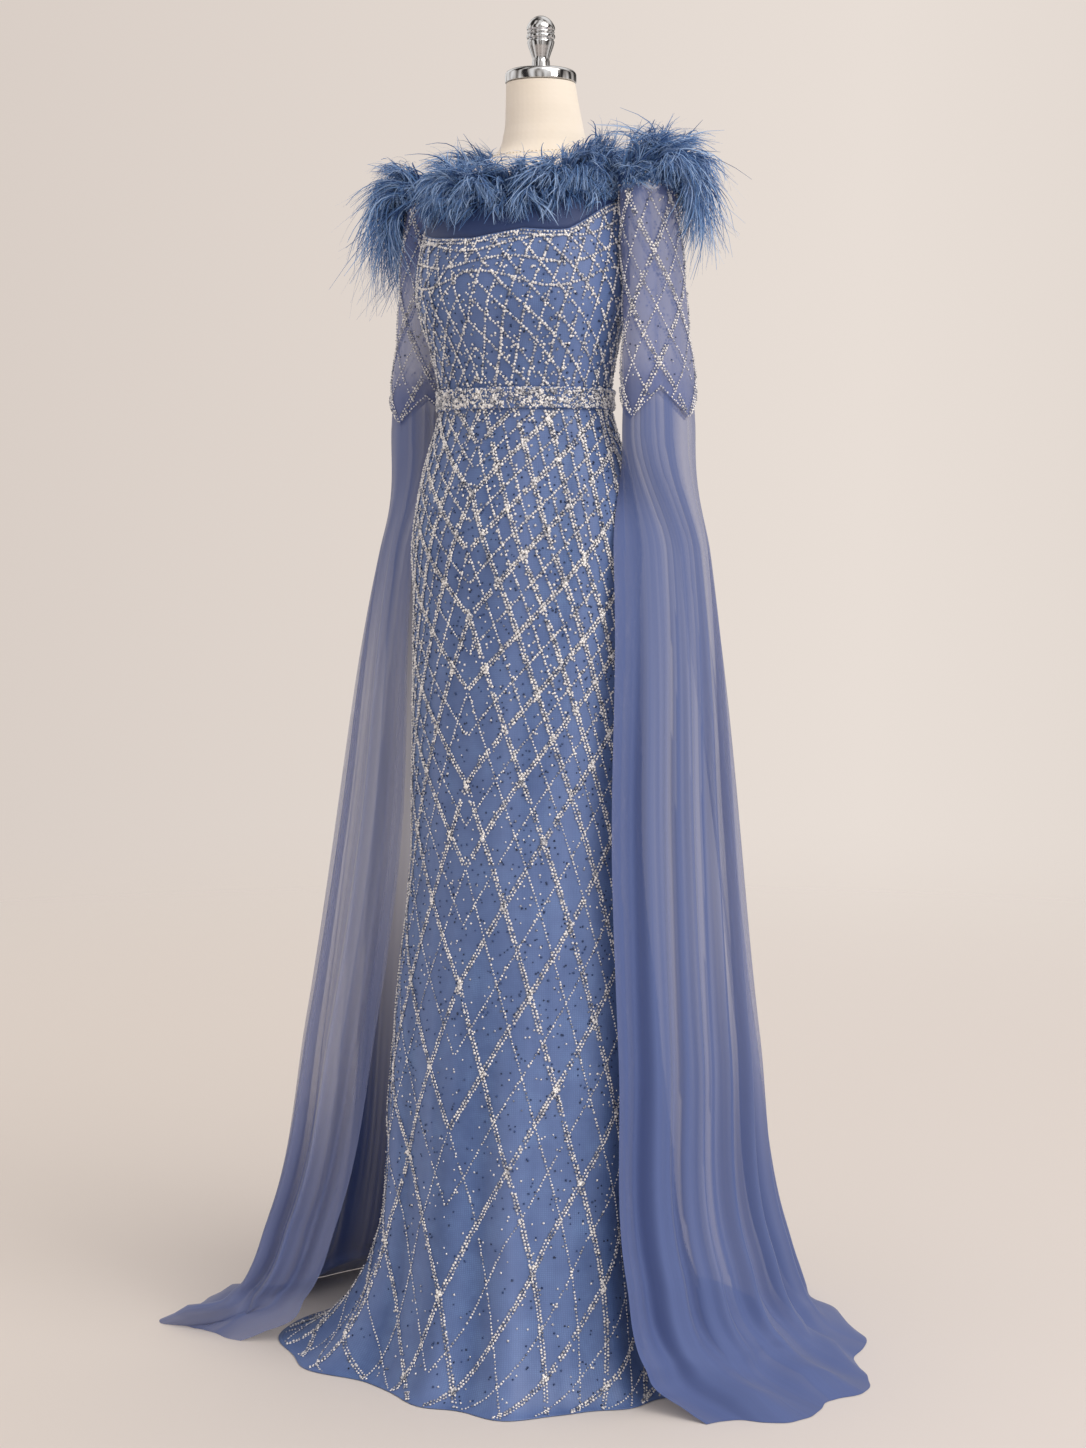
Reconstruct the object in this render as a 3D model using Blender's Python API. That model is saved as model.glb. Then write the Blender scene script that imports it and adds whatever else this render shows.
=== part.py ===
"""An off-shoulder evening gown with cape sleeves and a feather trim, standing on a limbless dress form.

Metres, +Z up. The gown's front faces -Y and the wearer's left is +X. The origin is on the floor under
the form's pole. Cloth pieces are thin walls over rings; each ring is read from a short table of sections.
"""
import math

import bmesh
import bpy
import numpy as np

# Driving dimensions
CLOTH = 0.0012            # wall of every cloth piece
SEAM = 0.0003             # gap kept at seams and between touching pieces
EASE = 0.0009             # the gown's clearance over the form
FLOOR_CLEAR = 0.0006      # underside of the hem above the floor
WAIST_Z = 1.279           # seam between the bodice and the skirt, under the belt
BELT_HEIGHT = 0.028
BELT_THICK = 0.0030
FLARE_Z = 0.200           # height at which the skirt starts to sweep out over the floor
SEAM_ANGLE = 0.0020       # half the gap between two panels at a lengthwise seam, in radians
NECK_SET_BACK = 0.037
NECK_TOP = 1.7105
POLE_RADIUS = 0.0125
TORSO_BOTTOM = 1.000
BASE = [(0.132, 0.0), (0.135, 0.003), (0.135, 0.010), (0.129, 0.014), (0.030, 0.018), (0.022, 0.022)]
NECK_CAP = [(0.046, 0.0), (0.0485, 0.002), (0.0485, 0.013), (0.045, 0.017), (0.012, 0.021)]
FINIAL = [(0.0124, 0.0), (0.0117, 0.0130), (0.0155, 0.0245), (0.0184, 0.0365), (0.0170, 0.0385),
          (0.0196, 0.0428), (0.0173, 0.0464), (0.0187, 0.0490), (0.0178, 0.0506), (0.0194, 0.0541),
          (0.0166, 0.0612), (0.0120, 0.0668), (0.0050, 0.0715)]

# Top edge of the gown: its height in front, and what it gains at the arms and across the back
NECKLINE_Z = 1.498
NECKLINE_SIDE = 0.028
NECKLINE_BACK = 0.024

# Sections of the dress form: height, half width, depth in front, depth behind, centre set back
TORSO = [
    (1.000, 0.1590, 0.1210, 0.1270, 0.000),
    (1.090, 0.1610, 0.1240, 0.1300, 0.000),
    (1.180, 0.1470, 0.1110, 0.1120, 0.000),
    (1.279, 0.1205, 0.0940, 0.0930, 0.000),
    (1.340, 0.1290, 0.1080, 0.0980, 0.000),
    (1.405, 0.1450, 0.1340, 0.1050, 0.000),
    (1.455, 0.1480, 0.1290, 0.1080, 0.000),
    (1.500, 0.1450, 0.1100, 0.1070, 0.000),
    (1.540, 0.1390, 0.0960, 0.0950, 0.008),
    (1.570, 0.1230, 0.0860, 0.0800, 0.016),
    (1.595, 0.0900, 0.0760, 0.0640, 0.029),
    (1.617, 0.0640, 0.0600, 0.0590, 0.041),
    (1.644, 0.0550, 0.0550, 0.0550, 0.045),
    (1.680, 0.0500, 0.0500, 0.0500, 0.041),
    (1.7105, 0.0470, 0.0470, 0.0470, 0.037),
]

# Inside of the skirt below the form's hips: height, half width, depth in front, depth behind
SKIRT = [
    (0.120, 0.1980, 0.1920, 0.2300),
    (0.230, 0.1930, 0.1700, 0.1980),
    (0.340, 0.1910, 0.1630, 0.1740),
    (0.500, 0.1790, 0.1460, 0.1510),
    (0.660, 0.1620, 0.1310, 0.1350),
    (0.800, 0.1600, 0.1280, 0.1320),
    (1.000, 0.1596, 0.1216, 0.1276),
]

# Hem of the skirt on the floor: bearing from +X in degrees, radius from the pole
HEM = [
    (-180, 0.340), (-152, 0.336), (-135, 0.297), (-122, 0.254), (-108, 0.232), (-85, 0.240), (-54, 0.248),
    (-30, 0.238), (-12, 0.254), (15, 0.275), (45, 0.330), (75, 0.405), (95, 0.430), (120, 0.410),
    (150, 0.360), (180, 0.340),
]

# Soft folds of the skirt: two waves round it (number, phase, share), and how deep they stand
HIP_BLEND = (0.990, 1.080)  # between these heights the skirt's own rings pass into the form's
SKIRT_WAVES = [(11, 0.8, 1.00), (17, 2.1, 0.45)]
SKIRT_RIPPLE = 0.0045     # at the flare, growing from RIPPLE_START
RIPPLE_START = 0.520
HEM_WAVE = 0.006
HEM_LIFT = 0.003          # the swept cloth arches this far off the floor
SWEEP_CURVE = 0.85        # below 1 the skirt leaves the vertical sooner
SKIRT_HEIGHTS = [0.960, 0.700, 0.500, 0.340, FLARE_Z]
SKIRT_SWEEPS = [0.30, 0.55, 0.78, 1.00]

# Inside of a sleeve: height, centre out from the middle, half width, half depth, centre set back
SLEEVE = [
    (1.240, 0.1920, 0.0450, 0.0620, 0.033),
    (1.300, 0.1910, 0.0420, 0.0600, 0.033),
    (1.360, 0.1880, 0.0370, 0.0560, 0.033),
    (1.430, 0.1853, 0.0350, 0.0520, 0.032),
    (1.500, 0.1803, 0.0345, 0.0480, 0.030),
    (1.580, 0.1740, 0.0290, 0.0430, 0.030),
]
SLEEVE_TOP = 1.560
SLEEVE_HEM = 1.290
SLEEVE_POINT = 0.038      # how far each point of the sleeve's hem hangs below the notches
SLEEVE_POINTS = 4

# Cape panels: height, then the front edge, outermost part and back edge of the sheet at that height
CAPE_LEFT = [
    (1.300, 0.1560, -0.010, 0.2300, 0.036, 0.1560, 0.070),
    (1.150, 0.1600, -0.028, 0.2380, 0.060, 0.1580, 0.110),
    (1.000, 0.1710, -0.042, 0.2440, 0.080, 0.1640, 0.140),
    (0.700, 0.1760, -0.060, 0.2570, 0.090, 0.1780, 0.190),
    (0.430, 0.1950, -0.076, 0.2700, 0.100, 0.1900, 0.235),
    (0.160, 0.2180, -0.095, 0.2930, 0.110, 0.2050, 0.300),
    (0.060, 0.2500, -0.098, 0.3300, 0.130, 0.1950, 0.370),
    (0.014, 0.2950, -0.094, 0.3800, 0.150, 0.1750, 0.430),
    (0.000, 0.3400, -0.090, 0.4250, 0.160, 0.1500, 0.480),
]
CAPE_RIGHT = [
    (1.300, -0.1560, -0.010, -0.2300, 0.036, -0.1560, 0.070),
    (1.150, -0.1620, -0.024, -0.2360, 0.014, -0.1580, 0.110),
    (1.000, -0.1690, -0.034, -0.2480, -0.012, -0.1640, 0.140),
    (0.700, -0.1770, -0.040, -0.2770, -0.038, -0.1780, 0.200),
    (0.430, -0.2050, -0.062, -0.3060, -0.058, -0.1980, 0.250),
    (0.160, -0.2450, -0.100, -0.3440, -0.080, -0.2300, 0.310),
    (0.060, -0.2750, -0.128, -0.3850, -0.090, -0.2500, 0.360),
    (0.014, -0.3100, -0.150, -0.4400, -0.090, -0.2600, 0.410),
    (0.000, -0.3500, -0.170, -0.5050, -0.080, -0.2700, 0.460),
]
CAPE_FOLDS = 7
CAPE_JOIN = (150, 300)    # first bearing on the sleeve's ring and the angle that the panel takes up, degrees
CAPE_OPEN = (1.235, 1.075)  # between these heights the panel leaves the sleeve's ring
FOLD_DEPTH = 0.010        # reached at the knee
FOLD_DEEPER = 0.005       # added from the knee to just above the floor
KNEE_Z = 0.700
FLOOR_CALM = 0.7          # the folds lose this share of their depth where the sheet lies on the floor
CAPE_HEIGHTS = [1.335, 1.235, 1.16, 1.06, 0.90, 0.70, 0.44, 0.24, 0.12, 0.05, 0.014, 0.0]

# Heights at which the form and the cloth on it share a ring, so that their facets stay parallel
BODY_LEVELS = [1.000, 1.080, 1.150, 1.210, 1.262, 1.292, 1.330, 1.370, 1.410, 1.450]
SHOULDER_LEVELS = [1.480, 1.510, 1.540, 1.565, 1.585, 1.603, 1.617, 1.640, 1.680, NECK_TOP]

# Feather trim: each strip carries three rows of locks. Row: length, then the outward and upward
# share of the lower and of the upper half of a lock
TRIM_HEIGHT = 0.010
TRIM_DEPTH = 0.0040
TRIM_LIFT = 0.0009        # the strip's underside above the cloth's edge, whose wall leans back
TRIM_CELLS = 12
TRIM_CENTRE = (0.0, 0.030)
LOCK_WAIST = 0.42         # a lock's section at its bend, as a share of its root
LOCK_UNEVEN = 0.14        # locks differ in length by this share, and in tilt by the next
LOCK_TILT = 0.10
TRIM_ARCS = {"trim_front": (208, 332), "trim_back": (38, 142)}
SLEEVE_ARC = 84           # the strip on a sleeve runs this far each way from its outermost point, degrees
LEFT_FRONT_HANG = 0.30    # on the left the lowest locks are swept back: those in front keep this share
HANG_BEARINGS = (-0.35, 0.45)  # the share changes between these bearings, radians
FRONT_LOCKS = [(0.040, 0.90, -0.30, 0.60, -0.80), (0.075, 0.85, 0.55, 0.95, 0.00),
               (0.095, 0.35, 0.95, 0.70, 0.60)]
SIDE_LOCKS = [(0.160, 0.75, -0.55, 0.30, -0.95), (0.095, 0.95, 0.20, 0.80, -0.60),
              (0.088, 0.38, 0.95, 0.80, 0.42)]


def smooth(rows, column, at):
    """Read one column of a table at the given places, along a cubic that passes through every row."""
    table = np.array(rows, float)
    x, y = table[:, 0], table[:, column]
    slope = np.gradient(y, x)
    at = np.clip(at, x[0], x[-1])
    i = np.clip(np.searchsorted(x, at) - 1, 0, len(x) - 2)
    step = x[i + 1] - x[i]
    t = (at - x[i]) / step
    return ((2 * t**3 - 3 * t**2 + 1) * y[i] + (t**3 - 2 * t**2 + t) * step * slope[i]
            + (3 * t**2 - 2 * t**3) * y[i + 1] + (t**3 - t**2) * step * slope[i + 1])


def ramp(value, start, end):
    """Rise smoothly from 0 at start to 1 at end."""
    t = np.clip((value - start) / (end - start), 0, 1)
    return t * t * (3 - 2 * t)


def material(name, colour, roughness, metallic=0.0):
    """A Principled material of one colour."""
    made = bpy.data.materials.new(name)
    made.use_nodes = True
    shader = made.node_tree.nodes["Principled BSDF"]
    shader.inputs["Base Color"].default_value = (*colour, 1.0)
    shader.inputs["Roughness"].default_value = roughness
    shader.inputs["Metallic"].default_value = metallic
    return made


def add_object(name, points, faces, finish):
    """Make an object from points and faces, shade it smooth and turn its faces outward."""
    mesh = bpy.data.meshes.new(name)
    mesh.from_pydata([tuple(p) for p in points], [], [tuple(f) for f in faces])
    tidy = bmesh.new()
    tidy.from_mesh(mesh)
    bmesh.ops.recalc_face_normals(tidy, faces=tidy.faces)
    tidy.to_mesh(mesh)
    tidy.free()
    mesh.shade_smooth()
    mesh.set_sharp_from_angle(angle=math.radians(50))
    mesh.materials.append(finish)
    made = bpy.data.objects.new(name, mesh)
    bpy.context.collection.objects.link(made)
    return made


def grid_normals(grid, ring):
    """Unit normals of a grid of points: across the rows by along the columns."""
    down = np.gradient(grid, axis=0)
    if ring:
        around = (np.roll(grid, -1, axis=1) - np.roll(grid, 1, axis=1)) / 2
    else:
        around = np.gradient(grid, axis=1)
    normal = np.cross(around, down)
    return normal / np.linalg.norm(normal, axis=2, keepdims=True)


def wall(name, inside, thick, finish, ring=False, outward=1.0):
    """A closed wall: the inside grid, the same grid moved out by the thickness, and the edges between."""
    outside = inside + outward * thick * grid_normals(inside, ring)
    outside[..., 2] = np.maximum(outside[..., 2], inside[..., 2])
    rows, columns = inside.shape[:2]
    points = np.concatenate([inside.reshape(-1, 3), outside.reshape(-1, 3)])
    index = np.arange(rows * columns).reshape(rows, columns)
    layer = rows * columns
    faces = []
    last = columns if ring else columns - 1
    for r in range(rows - 1):
        for c in range(last):
            d = (c + 1) % columns
            a, b, e, f = index[r, c], index[r, d], index[r + 1, d], index[r + 1, c]
            faces += [(a, b, e), (a, e, f)]
            faces += [(layer + a, layer + e, layer + b), (layer + a, layer + f, layer + e)]
    for c in range(last):
        d = (c + 1) % columns
        faces.append((index[0, c], layer + index[0, c], layer + index[0, d], index[0, d]))
        faces.append((index[-1, d], layer + index[-1, d], layer + index[-1, c], index[-1, c]))
    if not ring:
        for r in range(rows - 1):
            faces.append((index[r, 0], index[r + 1, 0], layer + index[r + 1, 0], layer + index[r, 0]))
            faces.append((index[r, -1], layer + index[r, -1], layer + index[r + 1, -1], index[r + 1, -1]))
    return add_object(name, points, faces, finish)


def turned(name, profile, sides, finish, centre=(0.0, 0.0)):
    """A round solid from a profile of (radius, height) rows, closed on its axis at both ends."""
    angles = np.linspace(0, 2 * math.pi, sides, endpoint=False)
    points = [(centre[0], centre[1], profile[0][1])]
    for radius, height in profile:
        ring = np.column_stack([radius * np.cos(angles), radius * np.sin(angles)]) + centre
        points += [(x, y, height) for x, y in ring]
    points.append((centre[0], centre[1], profile[-1][1]))
    faces = []
    for s in range(sides):
        n = (s + 1) % sides
        faces.append((0, 1 + s, 1 + n))
        for k in range(len(profile) - 1):
            low, high = 1 + k * sides, 1 + (k + 1) * sides
            faces.append((low + s, high + s, high + n, low + n))
        top = 1 + (len(profile) - 1) * sides
        faces.append((len(points) - 1, top + n, top + s))
    return add_object(name, points, faces, finish)


def body_ring(theta, z, ease):
    """Points round the dress form at height z, moved out by the ease."""
    half = smooth(TORSO, 1, z) + ease
    depth = np.where(np.sin(theta) < 0, smooth(TORSO, 2, z), smooth(TORSO, 3, z)) + ease
    back = smooth(TORSO, 4, z)
    return np.stack([half * np.cos(theta), back + depth * np.sin(theta), z + 0 * theta], axis=-1)


def neckline(theta):
    """Height of the gown's top edge: level across the front, higher at the arms and across the back."""
    side = np.abs(np.cos(theta)) ** 6
    behind = 0.5 + 0.5 * np.sin(theta)
    return NECKLINE_Z + NECKLINE_SIDE * side + NECKLINE_BACK * behind


def skirt_sheet(theta, heights, sweeps):
    """Inside of the skirt: rings at the heights given, then rings swept out from the flare to the hem."""
    share = np.concatenate([np.zeros(len(heights)), sweeps])
    z = np.concatenate([heights, np.full(len(sweeps), FLARE_Z)])
    theta, share = np.meshgrid(theta, share)
    z = z[:, None] + 0 * theta
    half = smooth(SKIRT, 1, z) + EASE
    depth = np.where(np.sin(theta) < 0, smooth(SKIRT, 2, z), smooth(SKIRT, 3, z)) + EASE
    below = np.stack([half * np.cos(theta), depth * np.sin(theta), z], axis=-1)
    blend = ramp(z, *HIP_BLEND)[..., None]
    sheet = body_ring(theta, z, EASE) * blend + below * (1 - blend)
    wave = sum(share_of * np.sin(number * theta + phase) for number, phase, share_of in SKIRT_WAVES)
    bearing = np.degrees(np.arctan2(sheet[..., 1], sheet[..., 0]))
    radius = np.hypot(sheet[..., 0], sheet[..., 1])
    hem = smooth(HEM, 1, bearing) + HEM_WAVE * wave
    turn = share * math.pi / 2
    ripple = SKIRT_RIPPLE * ramp(-z, -RIPPLE_START, -FLARE_Z) * wave
    spread = radius + ripple + (hem - radius - ripple) * (1 - np.cos(turn)) ** SWEEP_CURVE
    sheet *= (spread / radius)[..., None]
    lift = HEM_LIFT * np.sin(2 * turn) * (1 + wave / sum(row[2] for row in SKIRT_WAVES))
    sheet[..., 2] = np.where(share > 0, FLOOR_CLEAR + (FLARE_Z - FLOOR_CLEAR) * (1 - np.sin(turn)) + lift, z)
    return sheet


def sleeve_ring(side, phi, z, ease):
    """Points round a sleeve at height z. The angle runs from the outermost point towards the front."""
    centre = smooth(SLEEVE, 1, z)
    half = smooth(SLEEVE, 2, z) + ease
    depth = smooth(SLEEVE, 3, z) + ease
    back = smooth(SLEEVE, 4, z)
    return np.stack([side * (centre + half * np.cos(phi)), back - depth * np.sin(phi), z + 0 * phi], axis=-1)


def cape_sheet(side, sections, across, heights):
    """Inside of a cape panel: it leaves the sleeve's ring and opens into folds down to the floor."""
    rows = sections[::-1]
    across, z = np.meshgrid(across, heights)
    phi = math.radians(CAPE_JOIN[0]) - across * math.radians(CAPE_JOIN[1])
    on_sleeve = sleeve_ring(side, phi, np.maximum(z, SLEEVE[0][0]), -CLOTH - 4 * SEAM)
    front, outer, back = [
        np.stack([smooth(rows, c, z), smooth(rows, c + 1, z)], axis=-1) for c in (1, 3, 5)]
    control = 2 * outer - (front + back) / 2
    u = across[..., None]
    arch = (1 - u) ** 2 * front + 2 * u * (1 - u) * control + u**2 * back
    along = 2 * (1 - u) * (control - front) + 2 * u * (back - control)
    along /= np.linalg.norm(along, axis=2, keepdims=True)
    outward = side * np.stack([-along[..., 1], along[..., 0]], axis=-1) * -1
    size = FOLD_DEPTH * ramp(-z, -CAPE_OPEN[0], -KNEE_Z) + FOLD_DEEPER * ramp(-z, -KNEE_Z, -0.200)
    size *= 1 - FLOOR_CALM * ramp(-z, -0.100, -0.010)
    wave = np.cos(2 * math.pi * CAPE_FOLDS * across + 0.6 * np.sin(5 * across))
    uneven = 0.75 + 0.25 * np.sin(9 * across + 1.0 + side)
    arch = arch + outward * (size * wave * uneven)[..., None]
    leave = ramp(-z, -CAPE_OPEN[0], -CAPE_OPEN[1])[..., None]
    flat = on_sleeve[..., :2] * (1 - leave) + arch * leave
    return np.concatenate([flat, np.maximum(z, FLOOR_CLEAR)[..., None]], axis=-1)


def build_form(canvas, metal, chrome, enamel):
    """The limbless dress form: base, pole, torso with neck, cap and finial."""
    turned("form_base", BASE, 24, enamel)
    turned("form_pole", [(POLE_RADIUS, BASE[-1][1] + SEAM), (POLE_RADIUS, TORSO_BOTTOM - SEAM)], 12, metal)
    sides = 24
    heights = BODY_LEVELS[:5] + [WAIST_Z] + BODY_LEVELS[5:] + SHOULDER_LEVELS
    theta = np.linspace(0, 2 * math.pi, sides, endpoint=False)
    rings = np.concatenate([body_ring(theta, z, 0.0) for z in heights])
    faces = [tuple(range(sides - 1, -1, -1)), tuple(range(len(rings) - sides, len(rings)))]
    for k in range(len(heights) - 1):
        for s in range(sides):
            n = (s + 1) % sides
            faces.append((k * sides + s, k * sides + n, (k + 1) * sides + n, (k + 1) * sides + s))
    add_object("form_torso", rings, faces, canvas)
    cap = NECK_TOP + SEAM
    turned("neck_cap", [(r, cap + h) for r, h in NECK_CAP], 20, chrome, (0.0, NECK_SET_BACK))
    foot = cap + NECK_CAP[-1][1] + SEAM
    turned("finial", [(r, foot + h) for r, h in FINIAL], 12, chrome, (0.0, NECK_SET_BACK))


def build_bodice(cloth):
    """Bodice front and two backs, from the waist seam to the neckline."""
    cut = SEAM_ANGLE
    pieces = {
        "bodice_front": (math.pi + cut, 2 * math.pi - cut, 23),
        "bodice_back_left": (cut, math.pi / 2 - cut, 12),
        "bodice_back_right": (math.pi / 2 + cut, math.pi - cut, 12),
    }
    for name, (start, end, columns) in pieces.items():
        theta = np.linspace(start, end, columns)
        levels = np.array([WAIST_Z + SEAM] + BODY_LEVELS[5:])
        upper = levels[-1] + np.array([0.35, 0.68, 1.0])[:, None] * (neckline(theta)[None, :] - levels[-1])
        z = np.concatenate([levels[:, None] + 0 * theta, upper])
        inside = body_ring(theta[None, :] + 0 * z, z, EASE)
        wall(name, inside, CLOTH, cloth)


def build_skirt(cloth):
    """Skirt front and two backs, from the waist seam down to the swept hem."""
    cut = SEAM_ANGLE
    pieces = {
        "skirt_front": (-math.pi + cut, -cut, 39),
        "skirt_back_left": (cut, math.pi / 2 - cut, 20),
        "skirt_back_right": (math.pi / 2 + cut, math.pi - cut, 20),
    }
    heights = np.array([WAIST_Z - SEAM] + BODY_LEVELS[4:0:-1] + SKIRT_HEIGHTS)
    for name, (start, end, columns) in pieces.items():
        inside = skirt_sheet(np.linspace(start, end, columns), heights, SKIRT_SWEEPS)
        wall(name, inside[::-1], CLOTH, cloth)


def build_belt(cloth):
    """The belt: a closed band over the waist seam."""
    theta = np.linspace(0, 2 * math.pi, 44, endpoint=False)
    ease = EASE + CLOTH + 3 * SEAM
    levels = (WAIST_Z - BELT_HEIGHT / 2, WAIST_Z, WAIST_Z + BELT_HEIGHT / 2)
    inside = np.stack([body_ring(theta, np.full_like(theta, z), ease) for z in levels])
    wall("belt", inside, BELT_THICK, cloth, ring=True)


def build_sleeves(cloth):
    """Short sleeves with a pointed hem, one each side."""
    phi = np.linspace(0, 2 * math.pi, 20, endpoint=False)
    for name, side in (("sleeve_left", 1), ("sleeve_right", -1)):
        point = np.abs(((phi / (2 * math.pi) * SLEEVE_POINTS + 0.5) % 1.0) * 2 - 1)
        low = SLEEVE_HEM - SLEEVE_POINT * (1 - point)
        share = np.linspace(0, 1, 6)[:, None]
        z = low[None, :] + share * (SLEEVE_TOP - low[None, :])
        inside = sleeve_ring(side, phi[None, :] + 0 * share, z, 0.0)
        wall(name, inside, CLOTH, cloth, ring=True, outward=-side)


def build_capes(cloth):
    """Floor-length panels that hang from inside the sleeves."""
    across = np.linspace(0, 1, 6 * CAPE_FOLDS + 1)
    heights = np.array(CAPE_HEIGHTS)
    for name, side, sections in (("cape_left", 1, CAPE_LEFT), ("cape_right", -1, CAPE_RIGHT)):
        inside = cape_sheet(side, sections, across, heights)
        wall(name, inside, CLOTH, cloth, outward=-side)


def lock_strip(name, edge, rows, hang, finish):
    """A narrow strip that sits on a cloth edge, with three rows of feather locks fused into it.

    hang is the share of its length that the lowest lock of each cell keeps.
    """
    stations = len(edge)
    out = np.zeros_like(edge)
    out[:, :2] = edge[:, :2] - np.array(TRIM_CENTRE)
    out /= np.linalg.norm(out, axis=1, keepdims=True)
    up = np.array([0.0, 0.0, 1.0])
    low = edge + up * TRIM_LIFT
    section = np.stack([low, low + out * TRIM_DEPTH, low + out * TRIM_DEPTH + up * TRIM_HEIGHT / 2,
                        low + out * TRIM_DEPTH + up * TRIM_HEIGHT, low + up * TRIM_HEIGHT], axis=1)
    points = list(section.reshape(-1, 3))
    faces = [(0, 1, 2, 3, 4), tuple(5 * (stations - 1) + k for k in (4, 3, 2, 1, 0))]
    for s in range(stations - 1):
        here, there = 5 * s, 5 * (s + 1)
        faces.append((here + 4, there + 4, there, here))
        faces.append((here, there, there + 1, here + 1))
        away = out[s] + out[s + 1]
        away /= np.linalg.norm(away)
        for row, (length, out_low, up_low, out_high, up_high) in enumerate(rows):
            quad = [here + row + 1, there + row + 1, there + row + 2, here + row + 2]
            if row == 2:
                quad = [here + 3, there + 3, there + 4, here + 4]
            middle = np.mean([points[q] for q in quad], axis=0)
            reach = length * (1 + LOCK_UNEVEN * math.sin(2.4 * s + 1.7 * row)) / 2
            if row == 0:
                reach *= hang[s]
            tilt = LOCK_TILT * math.sin(1.9 * s + 2.3 * row)
            bend = middle + reach * (away * out_low + up * (up_low + tilt))
            tip = bend + reach * (away * out_high + up * (up_high + tilt))
            ring = [bend + (points[q] - middle) * LOCK_WAIST for q in quad]
            first = len(points)
            points += ring + [tip]
            for k in range(4):
                n = (k + 1) % 4
                faces.append((quad[k], quad[n], first + n, first + k))
                faces.append((first + k, first + n, first + 4))
    return add_object(name, points, faces, finish)


def build_trim(feather):
    """Feather trim: one strip on each neckline edge and one over the top of each sleeve."""
    for name, (start, end) in TRIM_ARCS.items():
        theta = np.radians(np.linspace(start, end, TRIM_CELLS + 1))
        lock_strip(name, body_ring(theta, neckline(theta), EASE), FRONT_LOCKS, np.ones(TRIM_CELLS), feather)
    for name, side, front_hang in (("trim_left", 1, LEFT_FRONT_HANG), ("trim_right", -1, 1.0)):
        phi = np.radians(np.linspace(-SLEEVE_ARC, SLEEVE_ARC, TRIM_CELLS + 1))
        edge = sleeve_ring(side, phi, np.full_like(phi, SLEEVE_TOP), 0.0)
        hang = 1 - (1 - front_hang) * ramp(phi[:-1], *HANG_BEARINGS)
        lock_strip(name, edge, SIDE_LOCKS, hang, feather)


def main():
    for old in list(bpy.data.objects):
        bpy.data.objects.remove(old, do_unlink=True)
    canvas = material("cream canvas", (0.83, 0.76, 0.65), 0.85)
    chrome = material("polished chrome", (0.80, 0.80, 0.80), 0.10, 1.0)
    steel = material("brushed steel", (0.60, 0.60, 0.60), 0.35, 1.0)
    enamel = material("cream enamel", (0.75, 0.70, 0.62), 0.45)
    satin = material("blue satin", (0.10, 0.18, 0.39), 0.35)
    tulle = material("blue tulle", (0.20, 0.26, 0.50), 0.70)
    feather = material("blue ostrich feather", (0.06, 0.14, 0.33), 0.80)
    crystal = material("silver crystal", (0.72, 0.72, 0.74), 0.20, 0.6)
    build_form(canvas, steel, chrome, enamel)
    build_bodice(satin)
    build_skirt(satin)
    build_belt(crystal)
    build_sleeves(tulle)
    build_capes(tulle)
    build_trim(feather)


main()
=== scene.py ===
import math
from math import pi, tau

import bpy
import numpy as np
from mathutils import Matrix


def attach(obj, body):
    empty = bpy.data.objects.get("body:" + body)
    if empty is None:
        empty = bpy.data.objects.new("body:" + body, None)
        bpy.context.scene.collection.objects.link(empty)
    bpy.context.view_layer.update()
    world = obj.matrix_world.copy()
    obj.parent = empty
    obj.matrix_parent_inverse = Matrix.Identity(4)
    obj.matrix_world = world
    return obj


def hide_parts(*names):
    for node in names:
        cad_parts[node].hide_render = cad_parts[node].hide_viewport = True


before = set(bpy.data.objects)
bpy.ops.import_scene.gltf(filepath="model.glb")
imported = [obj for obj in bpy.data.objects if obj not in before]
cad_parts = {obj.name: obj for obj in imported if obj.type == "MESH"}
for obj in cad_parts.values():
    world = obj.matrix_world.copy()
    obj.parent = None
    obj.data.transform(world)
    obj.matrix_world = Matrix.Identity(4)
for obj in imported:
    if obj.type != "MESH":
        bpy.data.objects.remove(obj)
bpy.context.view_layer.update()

# Dress form. A limbless torso of papier-mache under a cream cotton canvas cover, sewn to a neck piece
# with one stitched seam. It carries the gown, so its rings are the ones that the gown is laid over.
SEAM = 0.0003
NECK_TOP = 1.7105
NECK_SET_BACK = 0.037
NECK_SEAM = 1.615         # height of the stitched seam at the foot of the neck, lower in front
TORSO = [                 # height, half width, depth in front, depth behind, centre set back
    (1.000, 0.1590, 0.1210, 0.1270, 0.000), (1.090, 0.1610, 0.1240, 0.1300, 0.000),
    (1.180, 0.1470, 0.1110, 0.1120, 0.000), (1.279, 0.1205, 0.0940, 0.0930, 0.000),
    (1.340, 0.1290, 0.1080, 0.0980, 0.000), (1.405, 0.1450, 0.1340, 0.1050, 0.000),
    (1.455, 0.1480, 0.1290, 0.1080, 0.000), (1.500, 0.1450, 0.1100, 0.1070, 0.000),
    (1.540, 0.1390, 0.0960, 0.0950, 0.008), (1.570, 0.1230, 0.0860, 0.0800, 0.016),
    (1.595, 0.0900, 0.0760, 0.0640, 0.029), (1.617, 0.0640, 0.0600, 0.0590, 0.041),
    (1.644, 0.0550, 0.0550, 0.0550, 0.045), (1.680, 0.0500, 0.0500, 0.0500, 0.041),
    (1.7105, 0.0470, 0.0470, 0.0470, 0.037),
]


def smooth(rows, column, at):
    """One column of a table read at the given places, along a cubic through every row."""
    table = np.array(rows, float)
    x, y = table[:, 0], table[:, column]
    slope = np.gradient(y, x)
    at = np.clip(at, x[0], x[-1])
    i = np.clip(np.searchsorted(x, at) - 1, 0, len(x) - 2)
    step = x[i + 1] - x[i]
    t = (at - x[i]) / step
    return ((2 * t**3 - 3 * t**2 + 1) * y[i] + (t**3 - 2 * t**2 + t) * step * slope[i]
            + (3 * t**2 - 2 * t**3) * y[i + 1] + (t**3 - t**2) * step * slope[i + 1])


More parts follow.
